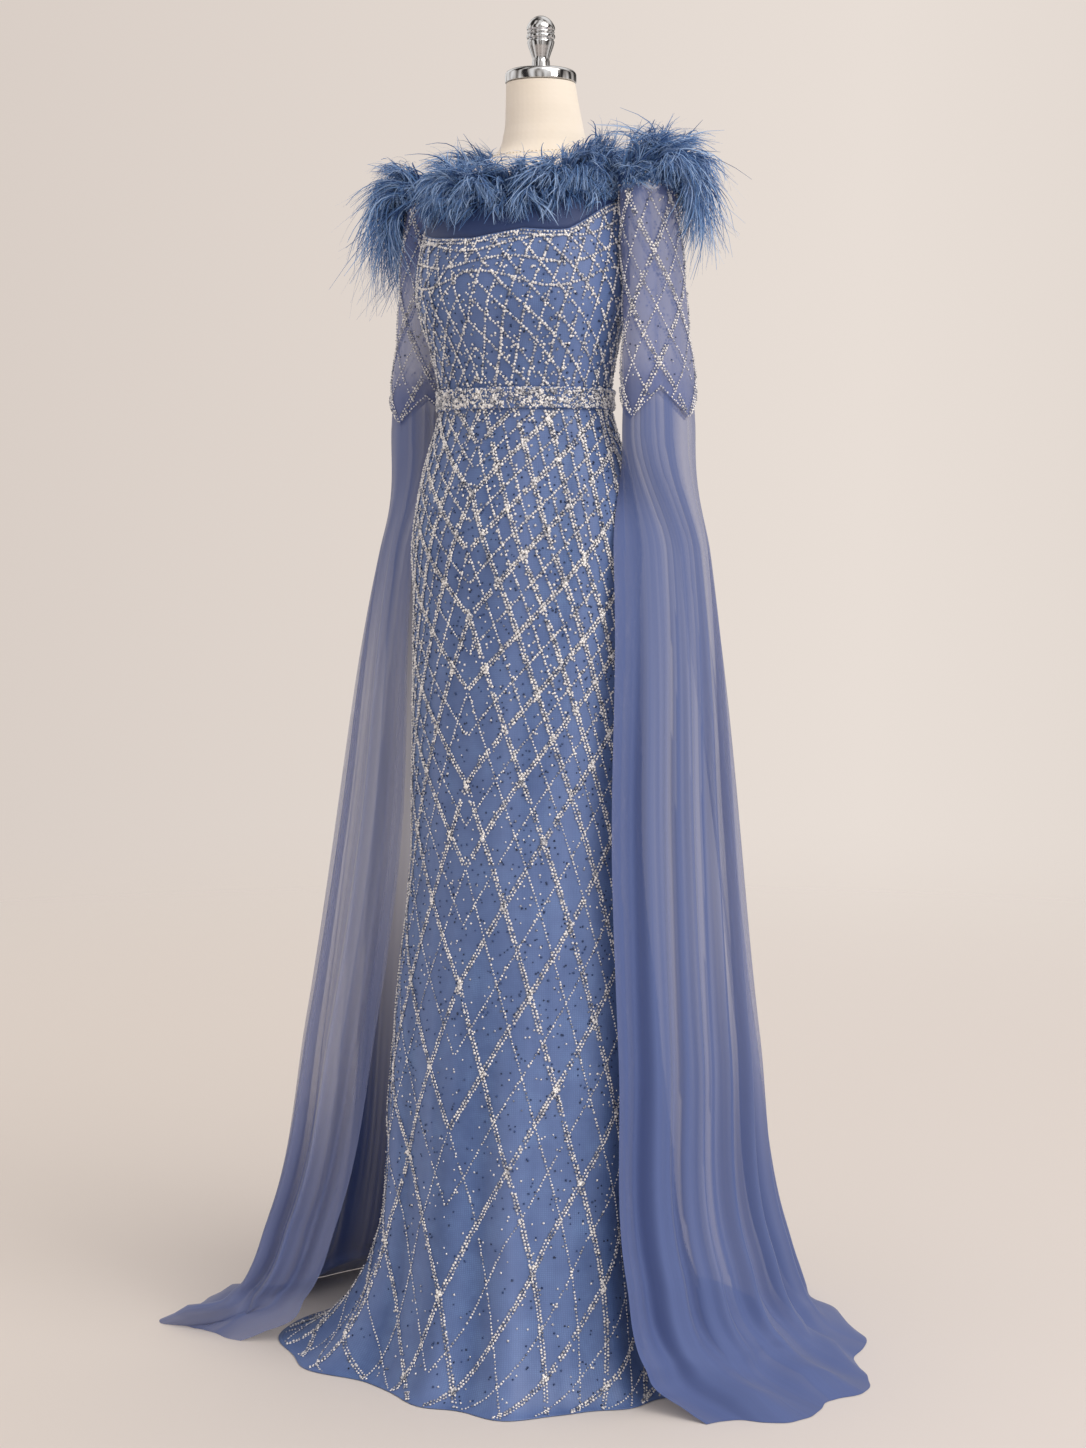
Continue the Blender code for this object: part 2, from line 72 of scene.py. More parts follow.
def ramp(value, start, end):
    """0 before start, 1 after end, three t squared less two t cubed between."""
    t = np.clip((value - start) / (end - start), 0, 1)
    return t * t * (3 - 2 * t)


def linear(shade):
    """The linear colour of an sRGB hex value such as '5874A8'."""
    parts = [int(shade[k:k + 2], 16) / 255 for k in (0, 2, 4)]
    return (*[c / 12.92 if c <= 0.04045 else ((c + 0.055) / 1.055) ** 2.4 for c in parts], 1.0)


def unit(ways):
    """Vectors along the last axis, divided by their own length."""
    return ways / np.linalg.norm(ways, axis=-1, keepdims=True)


def output(source):
    """The first output of a node, or the socket itself."""
    return getattr(source, "outputs", [source])[0]


def node(tree, kind, settings=None, links=None):
    """Add a shader node. Settings are its options and socket values. Links feed its sockets, each from a
    socket or from a node's first output."""
    made = tree.nodes.new("ShaderNode" + kind)
    for key, value in (settings or {}).items():
        if isinstance(key, str) and hasattr(made, key):
            setattr(made, key, value)
        else:
            made.inputs[key].default_value = value
    for key, source in (links or {}).items():
        tree.links.new(output(source), made.inputs[key])
    return made


def noise(tree, place, scale, detail=2.0, **settings):
    """Soft noise at a scale for each metre."""
    return node(tree, "TexNoise", {"Scale": scale, "Detail": detail, **settings}, {0: place})


def remap(tree, source, before, after, **settings):
    """A value carried from one range to another."""
    ends = dict(zip(("From Min", "From Max", "To Min", "To Max"), (*before, *after)))
    return node(tree, "MapRange", {**ends, **settings}, {0: source})


def shades(tree, source, *stops):
    """A value turned into a colour, by stops that each have a place and an sRGB hex value."""
    made = node(tree, "ValToRGB", {}, {0: source})
    ends = made.color_ramp.elements
    for k, (place, shade) in enumerate(stops):
        stop = ends[k] if k < 2 else ends.new(place)
        stop.position, stop.color = place, linear(shade)
    return made


def feed(shader, **sources):
    """Join nodes or their sockets to the inputs of a shader."""
    for key, source in sources.items():
        shader.id_data.links.new(output(source), shader.inputs[key.replace("_", " ")])


def relief(shader, *layers):
    """Bump nodes in a chain. Each layer is what gives the height, the strength and the distance in metres."""
    below = {}
    for height, strength, distance in layers:
        bump = node(shader.id_data, "Bump", {"Strength": strength, "Distance": distance},
                    {"Height": height, **below})
        below = {"Normal": bump}
    feed(shader, Normal=bump)


def stretched(tree, place, *scale):
    """Coordinates scaled along each axis."""
    return node(tree, "Mapping", {"Scale": scale}, {0: place})


def new_finish(name, **values):
    """A material of one Principled shader with the given socket values, and its node tree."""
    made = bpy.data.materials.new(name)
    made.use_nodes = True
    shader = made.node_tree.nodes["Principled BSDF"]
    for key, value in values.items():
        shader.inputs[key.replace("_", " ")].default_value = value
    return made, made.node_tree, shader


def add(name, data):
    """A new object in the scene for a mesh, a light or a camera."""
    made = bpy.data.objects.new(name, data)
    bpy.context.collection.objects.link(made)
    return made


def put(name, points, faces, look, slot, *nodes, spread=None, crease=None):
    """Make a mesh from points and faces, with a UV map in metres, and let it stand for CAD nodes. Edges
    that turn by more than the crease, in degrees, are sharp."""
    mesh = bpy.data.meshes.new(name)
    mesh.from_pydata(points.reshape(-1, 3).tolist(), [], faces)
    if spread is not None:
        corner = np.zeros(len(mesh.loops), int)
        mesh.loops.foreach_get("vertex_index", corner)
        mesh.uv_layers.new(name="cloth").data.foreach_set("uv", spread.reshape(-1, 2)[corner].ravel())
    mesh.shade_smooth()
    if crease:
        mesh.set_sharp_from_angle(angle=math.radians(crease))
    mesh.materials.append(look)
    piece = add(name, mesh)
    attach(piece, "root")
    if nodes:
        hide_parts(*nodes)
    return piece


def quads(rows, columns, ring, turn=False):
    """Faces of a grid whose rows run down and columns run round, so that they point outwards."""
    index = np.arange(rows * columns).reshape(rows, columns)
    right = np.roll(index, -1, axis=1) if ring else index[:, 1:]
    left = index if ring else index[:, :-1]
    order = [left[:-1], left[1:], right[1:], right[:-1]]
    return np.stack(order[::-1] if turn else order, axis=-1).reshape(-1, 4)


def closed(name, rings, ends, look, slot, stands_for, crease):
    """A closed body of rings from the top down, with a fan of triangles to the middle of each end."""
    rows, sides = rings.shape[:2]
    here, low, middle = np.arange(sides), (rows - 1) * sides, np.full(sides, rows * sides)
    top = np.stack([here, np.roll(here, -1), middle], axis=-1)
    foot = np.stack([low + np.roll(here, -1), low + here, middle + 1], axis=-1)
    faces = quads(rows, sides, True).tolist() + top.tolist() + foot.tolist()
    put(name, np.concatenate([rings.reshape(-1, 3), ends]), faces, look, slot, stands_for, crease=crease)


def measured(grid):
    """Distances along the columns and along the rows of a grid, in metres, for its UV map."""
    across = np.linalg.norm(np.diff(grid, axis=1), axis=2).mean(axis=0)
    along = np.linalg.norm(np.diff(grid, axis=0), axis=2).mean(axis=1)
    u, v = np.concatenate([[0], np.cumsum(across)]), np.concatenate([[0], np.cumsum(along)])
    return np.stack(np.meshgrid(u, v), axis=-1)


def body_ring(theta, z, ease):
    """Ellipse round the form at height z, its front and back of different depth, moved out by the ease."""
    half = smooth(TORSO, 1, z) + ease
    depth = np.where(np.sin(theta) < 0, smooth(TORSO, 2, z), smooth(TORSO, 3, z)) + ease
    back = smooth(TORSO, 4, z)
    return np.stack([half * np.cos(theta), back + depth * np.sin(theta), z + 0 * theta], axis=-1)


def turned(profile, sides, centre):
    """Points of a solid of revolution: each profile row is (radius, height), swept about the centre."""
    rows = np.array(profile, float)
    angle = np.linspace(0, tau, sides, endpoint=False)
    x = centre[0] + rows[:, :1] * np.cos(angle)
    y = centre[1] + rows[:, :1] * np.sin(angle)
    return np.stack([x, y, rows[:, 1:] + 0 * x], axis=-1)


def rounded(profile, steps):
    """A finer profile: a cubic through every row, read at even steps of its length."""
    rows = np.array(profile, float)
    run = np.concatenate([[0], np.cumsum(np.hypot(*np.diff(rows, axis=0).T))])
    at = np.linspace(0, run[-1], steps)
    table = np.column_stack([run, rows])
    return np.column_stack([smooth(table, 1, at), smooth(table, 2, at)])


# Cotton canvas, plain woven: matt, faintly yellow cream, with threads about 0.6 mm apart that are
# drawn at 1.2 mm so that they show, and a slight unevenness where the cover has been handled.
canvas, tree, shader = new_finish("cream cotton canvas", Roughness=0.86, Sheen_Weight=0.12,
                                  Sheen_Roughness=0.5)
place = node(tree, "TexCoord").outputs["Object"]
weft, warp = [node(tree, "TexWave", {"Scale": 1 / 0.0012 / 20, "bands_direction": way, "Distortion": 1.0},
                   {0: place}) for way in "ZX"]
cloudy = noise(tree, place, 9.0, 3.0)
threads = node(tree, "Math", {"operation": "MULTIPLY"}, {0: weft.outputs["Fac"], 1: warp.outputs["Fac"]})
feed(shader, Base_Color=shades(tree, cloudy, (0.30, "EFE7D9"), (0.70, "F8F2E8")))
relief(shader, (threads, 0.25, 0.0003))

FORM_FOOT = 1.0
heights = np.concatenate([np.linspace(NECK_TOP, 1.56, 60), np.linspace(1.557, FORM_FOOT, 70)])
theta = np.linspace(0, tau, 84, endpoint=False)
rings = body_ring(theta[None, :] + 0 * heights[:, None], heights[:, None] + 0 * theta, 0.0)
slope = 0.007 * np.sin(theta)
dip = 0.0011 * np.exp(-((rings[..., 2] - NECK_SEAM - slope) / 0.0013) ** 2)
rings[..., :2] -= unit(rings[..., :2] - np.array([0, NECK_SET_BACK])) * dip[..., None]
closed("form_cover", rings, [[0, NECK_SET_BACK, NECK_TOP], [0, 0, FORM_FOOT]], canvas, "form_canvas",
       "form_torso", 60)

# Stitching of the neck seam: short runs of cream thread, one every 4 mm round the foot of the neck.
around = np.linspace(0, tau, 80, endpoint=False)[:, None]
angle = (around + np.linspace(-0.014, 0.014, 5)).ravel()
z = NECK_SEAM + 0.0022 + 0.007 * np.sin(angle)
stitch = body_ring(angle, z, 0.0003).reshape(80, 5, 3)
normal = unit(stitch * [1, 1, 0] - [0, NECK_SET_BACK, 0])
bow = np.array([0, 0.8, 1, 0.8, 0])[None, :, None] * 0.0005
upward = np.array([0, 0, 0.0004]) + 0 * normal
section = [normal * 0.0004, upward, -normal * 0.0003, -upward]
tube = np.stack([stitch + normal * bow + s for s in section], axis=2)
index = np.arange(80 * 20).reshape(80, 5, 4)
beside = np.roll(index, -1, axis=2)
faces = np.stack([index[:, :-1], index[:, 1:], beside[:, 1:], beside[:, :-1]], axis=-1).reshape(-1, 4)
thread, tree, shader = new_finish("cream cotton thread", Base_Color=linear("CDBE9F"), Roughness=0.8)
put("neck_stitches", tube, faces[:, ::-1].tolist(), thread, "form_canvas")

# Neck cap and finial: brass spun and turned, then chrome plated and polished, screwed on the neck.
chrome, tree, shader = new_finish("polished chrome plate", Metallic=1.0, Roughness=0.09,
                                  Base_Color=linear("D6D6D8"))
place = node(tree, "TexCoord").outputs["Object"]
smear = noise(tree, place, 40.0, 4.0)
feed(shader, Roughness=remap(tree, smear, (0.0, 1.0), (0.06, 0.16)))
cap = NECK_TOP + SEAM
foot = cap + 0.021 + SEAM
rim = [(0.0005, 0.0), (0.0440, 0.0), (0.0460, 0.0004), (0.0482, 0.0016), (0.0485, 0.0035), (0.0485, 0.0115),
       (0.0480, 0.0135), (0.0462, 0.0160), (0.0430, 0.0176), (0.0300, 0.0196), (0.0120, 0.0208),
       (0.0005, 0.0210)]
knob = [(0.0124, 0.0), (0.0123, 0.0075), (0.0117, 0.0130), (0.0130, 0.0174), (0.0155, 0.0245),
        (0.0178, 0.0315), (0.0184, 0.0365), (0.0170, 0.0385), (0.0192, 0.0405), (0.0196, 0.0428),
        (0.0192, 0.0448), (0.0173, 0.0464), (0.0186, 0.0476), (0.0187, 0.0490), (0.0178, 0.0506),
        (0.0193, 0.0522), (0.0194, 0.0541), (0.0166, 0.0612), (0.0120, 0.0668), (0.0060, 0.0703),
        (0.0005, 0.0715)]
knob = np.concatenate([[[0.0005, 0.0]], rounded(knob, 110)])
for name, profile, stands_for in (("cap_plate", np.array(rim) + [0, cap], "neck_cap"),
                                  ("finial_turning", knob + [0, foot], "finial")):
    rings = turned(profile[::-1], 72, (0.0, NECK_SET_BACK))
    ends = [[0, NECK_SET_BACK, profile[-1][1]], [0, NECK_SET_BACK, profile[0][1]]]
    closed(name, rings, ends, chrome, "polished_chrome", stands_for, 50)

# Pole and base: a drawn steel tube, brushed round, in a cast round base that is sprayed with cream
# enamel. The gown hides both from most sides, so the solids stay and only get their finish.
steel, tree, shader = new_finish("brushed steel tube", Metallic=1.0, Base_Color=linear("B9B9BA"),
                                 Roughness=0.3)
place = node(tree, "TexCoord").outputs["Object"]
grain = noise(tree, stretched(tree, place, 0.1, 0.1, 1.0), 900.0)
feed(shader, Roughness=remap(tree, grain, (0.0, 1.0), (0.24, 0.42)))
enamel, tree, shader = new_finish("cream sprayed enamel", Base_Color=linear("D9CFBE"), Roughness=0.4)
place = node(tree, "TexCoord").outputs["Object"]
relief(shader, (noise(tree, place, 700.0, 1.0), 0.12, 0.0002))
for name, look in (("form_pole", steel), ("form_base", enamel)):
    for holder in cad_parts[name].material_slots:
        holder.material = look

# Bodice. Blue satin under a layer of tulle, cut as a front and two backs that meet at the side and
# centre-back seams. It is sewn to the skirt under the belt and follows the form closely.
CLOTH = 0.0012
EASE = 0.0009
WAIST_Z = 1.279
SHELL = 0.0008            # thickness of satin and its tulle together


def neckline(theta):
    """Height of the top edge: level in front, higher at the arms by the sixth power, and across the back."""
    side = np.abs(np.cos(theta)) ** 6
    behind = 0.5 + 0.5 * np.sin(theta)
    return 1.498 + 0.028 * side + 0.024 * behind


def bodice_form(theta, share, lift):
    """The bodice at a share of its height from the waist seam to the neckline, lifted off the form."""
    z = WAIST_Z + SEAM + share * (neckline(theta) - WAIST_Z - SEAM)
    return body_ring(theta, z, EASE + lift)


def cloth(name, grid, look, slot, *nodes, thick=SHELL, turn=False):
    """A sheet from a grid of points, with a UV map in metres and its wall laid half on each side."""
    rows, columns = grid.shape[:2]
    faces = quads(rows, columns, False, turn).tolist()
    piece = put(name, grid, faces, look, slot, *nodes, spread=measured(grid))
    if thick:
        wall = piece.modifiers.new("wall", "SOLIDIFY")
        wall.thickness, wall.offset = thick, 0.0
    return piece


# Satin with tulle laid on it: warp threads too fine to see, so it shows as a soft band of gloss with
# slight slubs. The tulle over it is a net of 1.5 mm holes, drawn at 2.4 mm, and lies in soft falls. Where
# a fall rises, its colour is painted a paler blue: a painted highlight on the folds.
satin, tree, shader = new_finish("blue satin under tulle", Roughness=0.46, Sheen_Weight=0.35,
                                 Sheen_Roughness=0.35, Sheen_Tint=linear("8FA8D8"), Specular_IOR_Level=0.45)
spread = node(tree, "TexCoord").outputs["UV"]
place = node(tree, "TexCoord").outputs["Object"]
mottle = noise(tree, place, 26.0, 3.0, Roughness=0.6)
shade = shades(tree, mottle, (0.28, "445E93"), (0.50, "526DA2"), (0.74, "6180B5"))
net = node(tree, "TexVoronoi", {"Scale": 1 / 0.0024, "feature": "DISTANCE_TO_EDGE", "Randomness": 0.25},
           {0: spread})
cell = remap(tree, net.outputs["Distance"], (0.0, 0.16), (0.0, 1.0))
mixed = node(tree, "Mix", {"data_type": "RGBA", 6: linear("465C8F")}, {0: cell, 7: shade})
# The falls: a soft bump, and a paler blue painted on their raised parts as a painted highlight.
fall = noise(tree, stretched(tree, spread, 15.0, 1.3, 1.0), 1.0, Distortion=0.4)
fold_highlight = remap(tree, fall, (0.36, 0.68), (0.0, 0.55))
fold_highlit = node(tree, "Mix", {"data_type": "RGBA", 7: linear("7389BE")}, {0: fold_highlight, 6: mixed.outputs[2]})
feed(shader, Base_Color=fold_highlit.outputs[2])
slub = noise(tree, stretched(tree, spread, 6.0, 0.5, 1.0), 60.0, 4.0)
relief(shader, (fall, 0.5, 0.012), (slub, 0.35, 0.0006), (cell, 0.3, 0.0003))

CUT = 0.0020              # half the angle left open at a seam between two panels
for name, start, end, columns, width in (("bodice_front", pi, tau, 90, 0.44),
                                         ("bodice_back_left", 0, pi / 2, 46, 0.20),
                                         ("bodice_back_right", pi / 2, pi, 46, 0.20)):
    theta, share = np.meshgrid(np.linspace(start + CUT, end - CUT, columns), np.linspace(1, 0, 40))
    piece = cloth(name + "_satin", bodice_form(theta, share, CLOTH / 2), satin, "gown_satin", name)

# Bead work. Silver-lined glass beads and foiled crystals, sewn down one by one in lines that cross to
# a lattice of diamonds. Each is a small faceted bead of eight faces, lying on the cloth.
silver, tree, shader = new_finish("silver lined glass beads", Roughness=0.14, Metallic=0.1, IOR=1.52,
                                  Specular_IOR_Level=0.9, Coat_Weight=0.7, Coat_Roughness=0.05)
place = node(tree, "TexCoord").outputs["Object"]
each = node(tree, "TexWhiteNoise", {"noise_dimensions": "3D"},
            {0: node(tree, "VectorMath", {"operation": "SNAP", 1: (0.005, 0.005, 0.005)}, {0: place})})
shade = shades(tree, each, (0.0, "6E7484"), (0.22, "B4B8C4"), (0.50, "E9EAEE"), (1.0, "FFFFFF"))
feed(shader, Base_Color=shade)
navy, tree, shader = new_finish("navy foiled crystals", Roughness=0.2, Coat_Weight=0.5, Coat_Roughness=0.06)
place = node(tree, "TexCoord").outputs["Object"]
each = noise(tree, place, 140.0)
feed(shader, Base_Color=shades(tree, each, (0.35, "14213F"), (0.65, "2E4A80")))


def normals_of(form, a, b, step_b=0.002):
    """Outward unit normals of a form of two parameters, from the cross product of its two small steps."""
    round_it = form(a + 0.004, b) - form(a - 0.004, b)
    up_it = form(a, b + step_b) - form(a, b - step_b)
    return unit(np.cross(round_it, up_it))


def beads(name, form, a, b, size, look, seed, outward=1, step_b=0.002):
    """Beads on a form as octahedra, 0.7 as high as wide: four corners round the middle in the cloth's
    plane, turned at random, and two poles."""
    place, normal = form(a, b), normals_of(form, a, b, step_b) * outward
    chance = np.random.default_rng(seed)
    spin = chance.uniform(0, tau, len(place))
    side = unit(np.cross(normal, [0.31, 0.17, 0.93]))
    other = np.cross(normal, side)
    radius = (size / 2 * chance.uniform(0.78, 1.22, len(place)))[:, None]
    place = place + normal * radius * 0.7 * 0.8
    corner = [(spin + k * pi / 2)[:, None] for k in range(4)]
    rim = [place + radius * (side * np.cos(angle) + other * np.sin(angle)) for angle in corner]
    points = np.stack([*rim, place + normal * radius * 0.7, place - normal * radius * 0.7], axis=1)
    cell = np.array([(0, 1, 4), (1, 2, 4), (2, 3, 4), (3, 0, 4), (1, 0, 5), (2, 1, 5), (3, 2, 5), (0, 3, 5)])
    faces = (np.arange(len(place))[:, None, None] * 6 + cell[None]).reshape(-1, 3)
    put(name, points, faces.tolist(), look, "belt_crystal")


hand = np.random.default_rng(7)


def spaced(form, a, b, pitch, rows=1, gap=0.0):
    """Places every pitch along the curve form(a, b), in one or two rows a gap apart, as values of a and b.
    A needleworker's hand is not exact, so each lies a little off its place, and some are missing."""
    path = form(a, b)
    run = np.concatenate([[0], np.cumsum(np.linalg.norm(np.diff(path, axis=0), axis=1))])
    if run[-1] < 2 * pitch:
        return np.zeros((0, 2))
    at = np.arange(pitch / 2, run[-1], pitch)
    at = at + hand.normal(0, 0.09 * pitch, len(at))
    at = at[hand.uniform(0, 1, len(at)) > 0.03]
    places = []
    for way in ((0,) if rows == 1 else (-1, 1)):
        here = at + way * pitch / 4
        base_a, base_b = np.interp(here, run, a), np.interp(here, run, b)
        size_a = np.linalg.norm(form(base_a + 0.01, base_b) - form(base_a, base_b), axis=1) / 0.01
        size_b = np.linalg.norm(form(base_a, base_b + 0.01) - form(base_a, base_b), axis=1) / 0.01
        run_a = (np.interp(here + 0.002, run, a) - base_a) * size_a
        run_b = (np.interp(here + 0.002, run, b) - base_b) * size_b
        length = np.hypot(run_a, run_b) + 1e-9
        off = np.stack([-run_b / length / size_a, run_a / length / size_b], axis=-1)
        aside = way * gap / 2 + hand.normal(0, 0.0003, (len(here), 1))
        places.append(np.stack([base_a, base_b], axis=-1) + off * aside)
    return np.concatenate(places)


def on_bodice(theta, share):
    """The bodice's outer face."""
    return bodice_form(theta, share, CLOTH / 2 + SHELL / 2)


# The bodice's lattice is mirrored about the centre front: one set of lines runs down and away from it at
# about half a right angle, the other down and towards it, steeper. Three garlands cross the bust.
share = np.linspace(0.02, 0.985, 60)
lines, fine = [], []
for side in (-1, 1):
    for k in range(21):
        leaving = 0.225 * k - 1.45 * share + 0.02 * np.sin(7 * share + k)
        closing = 0.18 * k - 0.40 + 0.50 * share
        for from_front in (leaving, closing):
            there = (from_front >= 0) & (from_front <= pi)
            rows = spaced(on_bodice, 1.5 * pi + side * from_front[there], share[there], 0.0047)
            (lines if k % 3 == 0 else fine).append(rows)
for k in range(3):
    sweep = np.linspace(pi, tau, 90)
    height = 0.90 - 0.085 * k + 0.03 * np.sin(5 * sweep + k) - 0.05 * k * np.abs(np.cos(sweep))
    fine.append(spaced(on_bodice, sweep, height, 0.0046))
chance = np.random.default_rng(11)
dots = np.stack([chance.uniform(0, tau, 2100), chance.uniform(0.02, 0.96, 2100)], axis=-1)


def sag(theta):
    """How far the beaded edge dips below the neckline, as a share of the bodice's height, by the angle."""
    return np.interp(np.degrees(theta) % 360, [180, 240, 270, 298, 323, 345, 360],
                     [0, -0.030, -0.050, -0.010, -0.062, -0.012, 0])


edge = np.linspace(0, tau, 700)
rope = np.concatenate([spaced(on_bodice, edge, s + sag(edge), 0.0044) for s in (0.966, 0.987)])
for name, rows, size, look, seed in (
        ("bodice_lattice_heavy", np.concatenate(lines), 0.0052, silver, 1),
        ("bodice_lattice_fine", np.concatenate(fine), 0.0047, silver, 2),
        ("bodice_neckline_rope", rope, 0.0043, silver, 3),
        ("bodice_scattered_beads", dots[:1500], 0.0041, silver, 4),
        ("bodice_scattered_crystals", dots[1500:], 0.0036, navy, 5)):
    rows = rows[rows[:, 1] < 0.990 + sag(rows[:, 0])]
    beads(name, on_bodice, rows[:, 0], rows[:, 1], size, look, seed)

# Skirt. The same satin under tulle, a front and two backs, sewn to the bodice under the belt, close to
# the hips and swept out over the floor with a small train behind.
FLOOR_CLEAR = 0.0006
FLARE_Z = 0.200
SWEEP = 0.24              # length of cloth from the flare to the hem on which the bead lines are laid
SKIRT = [                 # height, half width, depth in front, depth behind
    (0.120, 0.1980, 0.1920, 0.2300), (0.230, 0.1930, 0.1700, 0.1980), (0.340, 0.1910, 0.1630, 0.1740),
    (0.500, 0.1790, 0.1460, 0.1510), (0.660, 0.1620, 0.1310, 0.1350), (0.800, 0.1600, 0.1280, 0.1320),
    (1.000, 0.1596, 0.1216, 0.1276),
]
HEM = [                   # bearing from +X in degrees, radius from the pole
    (-180, 0.340), (-152, 0.336), (-135, 0.297), (-122, 0.254), (-108, 0.232), (-85, 0.240), (-54, 0.248),
    (-30, 0.238), (-12, 0.254), (15, 0.275), (45, 0.330), (75, 0.405), (95, 0.430), (120, 0.410),
    (150, 0.360), (180, 0.340),
]


def skirt_form(theta, level, lift=0.0):
    """The skirt at an angle and a level. Above the flare the level is the height: rings of the form blend
    into the skirt's own. Below it the level counts cloth: a quarter turn swept out to the hem's radius."""
    share = np.clip((FLARE_Z - level) / SWEEP, 0, 1)
    z = np.maximum(level, FLARE_Z)
    half = smooth(SKIRT, 1, z) + EASE + lift
    depth = np.where(np.sin(theta) < 0, smooth(SKIRT, 2, z), smooth(SKIRT, 3, z)) + EASE + lift
    below = np.stack([half * np.cos(theta), depth * np.sin(theta), z], axis=-1)
    blend = ramp(z, 0.990, 1.080)[..., None]
    place = body_ring(theta, z, EASE + lift) * blend + below * (1 - blend)
    wave = np.sin(11 * theta + 0.8) + 0.45 * np.sin(17 * theta + 2.1)
    bearing = np.degrees(np.arctan2(place[..., 1], place[..., 0]))
    radius = np.hypot(place[..., 0], place[..., 1])
    hem = smooth(HEM, 1, bearing) + 0.006 * wave
    turn = share * pi / 2
    ripple = 0.0045 * ramp(-z, -0.520, -FLARE_Z) * wave
    reach = radius + ripple + np.maximum(hem - radius - ripple, 0.010) * (1 - np.cos(turn)) ** 0.85
    place = place * (reach / radius)[..., None]
    rise = 0.003 * np.sin(2 * turn) * (1 + wave / 1.45)
    swept = FLOOR_CLEAR + (FLARE_Z - FLOOR_CLEAR) * (1 - np.sin(turn)) + rise + lift * np.sin(turn)
    place[..., 2] = np.where(share > 0, swept, z)
    return place


HEM_LEVEL = FLARE_Z - SWEEP
levels = np.concatenate([np.linspace(WAIST_Z - SEAM, FLARE_Z, 76),
                         np.linspace(FLARE_Z - 0.006, HEM_LEVEL, 32)])
for name, start, end, columns, flat, area in (
        ("skirt_front", -pi, 0, 124, (0.72, 1.40), 0.62),
        ("skirt_back_left", 0, pi / 2, 62, (0.66, 1.52), 0.42),
        ("skirt_back_right", pi / 2, pi, 62, (0.66, 1.52), 0.42)):
    theta, level = np.meshgrid(np.linspace(start + CUT, end - CUT, columns), levels)
    piece = cloth(name + "_satin", skirt_form(theta, level, CLOTH / 2), satin, "gown_satin", name)


def on_skirt(theta, level):
    """The skirt's outer face."""
    return skirt_form(theta, level, CLOTH / 2 + SHELL / 2)


# The lattice of the skirt is mirrored about the centre front. Lines that run down towards the centre
# meet there in points; lines that run down and away start at those points, steeper.
MEETING = 0.993           # the point from which every second line down and away has two rows of beads
POINTS = [1.500, 1.445, 1.390, 1.330, 1.275, 1.218, 1.153, 1.078, MEETING, 0.898, 0.776, 0.666, 0.518, 0.334,
          0.138, -0.060, -0.260, -0.470, -0.690]
STEEP = 0.345             # how far a line down and away leaves the centre for each metre down
level_table = np.linspace(-1.0, 2.6, 721)
toward_table = np.cumsum(0.52 + 0.35 * ramp(level_table, 0.60, 1.00)) * (level_table[1] - level_table[0])
ring_angle = np.linspace(-pi, 0, 40)
ring_levels = np.linspace(HEM_LEVEL, WAIST_Z, 60)
halves = skirt_form(ring_angle + 0 * ring_levels[:, None], ring_levels[:, None] + 0 * ring_angle)
ring_size = np.linalg.norm(np.diff(halves, axis=1), axis=2).sum(axis=1) / pi


def skirt_line(level, distance, side):
    """Angle round the skirt of a place that is a distance along the cloth from the centre front."""
    return -pi / 2 + side * distance / np.interp(level, ring_levels, ring_size)


def cut_line(level, distance, side, double):
    """Beads along one line, from the centre front to the side seam and from the waist to the hem."""
    theta = skirt_line(level, distance, side)
    there = (distance >= 0) & (np.abs(theta + pi / 2) <= pi / 2)
    there &= (level <= WAIST_Z - 0.012) & (level >= HEM_LEVEL + 0.006)
    if there.sum() < 4:
        return np.zeros((0, 2))
    pitch, rows = (0.0044, 2) if double else (0.0043, 1)
    return spaced(on_skirt, theta[there], level[there], pitch, rows, 0.0038)


def toward(level):
    """Distance that a line down towards the centre covers, counted from the table's first level."""
    return np.interp(level, level_table, toward_table)


heavy, light, knots = [], [], []
track = np.linspace(WAIST_Z, HEM_LEVEL, 420)
starts = np.array(POINTS[::-1] + list(1.555 + 0.062 * np.arange(22)))
doubled = (np.arange(len(starts)) - POINTS[::-1].index(MEETING)) % 2 == 0
for side in (-1, 1):
    for point, after in zip(POINTS, POINTS[1:] + [POINTS[-1] - 0.2]):
        for part, double in ((0.0, True), (0.5, False)):
            distance = toward(track) - toward(point + part * (after - point))
            (heavy if double else light).append(cut_line(track, distance, side, double))
    for start, double in zip(starts, doubled):
        (heavy if double else light).append(cut_line(track, (start - track) * STEEP, side, double))
heavy, light = np.concatenate(heavy), np.concatenate(light)
many = 4100
around, height = chance.uniform(-pi, 0, many), chance.uniform(0, 1, many) ** 0.72
dots = np.stack([around, HEM_LEVEL + 0.02 + (WAIST_Z - HEM_LEVEL - 0.04) * height], axis=-1)
# Larger crystals sit where two heavy lines cross: both lines' formulas are solved for the height.
first, second = np.meshgrid(POINTS, starts[doubled])
meet = np.interp(toward(first) + STEEP * second, toward_table + STEEP * level_table, level_table).ravel()
far = STEEP * (second.ravel() - meet)
for side in (-1, 1):
    theta = skirt_line(meet, far, side)
    good = (far > -0.001) & (np.abs(theta + pi / 2) <= pi / 2)
    good &= (meet < WAIST_Z - 0.02) & (meet > HEM_LEVEL + 0.01)
    for k in range(4):
        knots.append(np.stack([theta[good] + hand.normal(0, 0.016, good.sum()),
                               meet[good] + hand.normal(0, 0.0032, good.sum())], axis=-1))
knots = np.concatenate(knots)
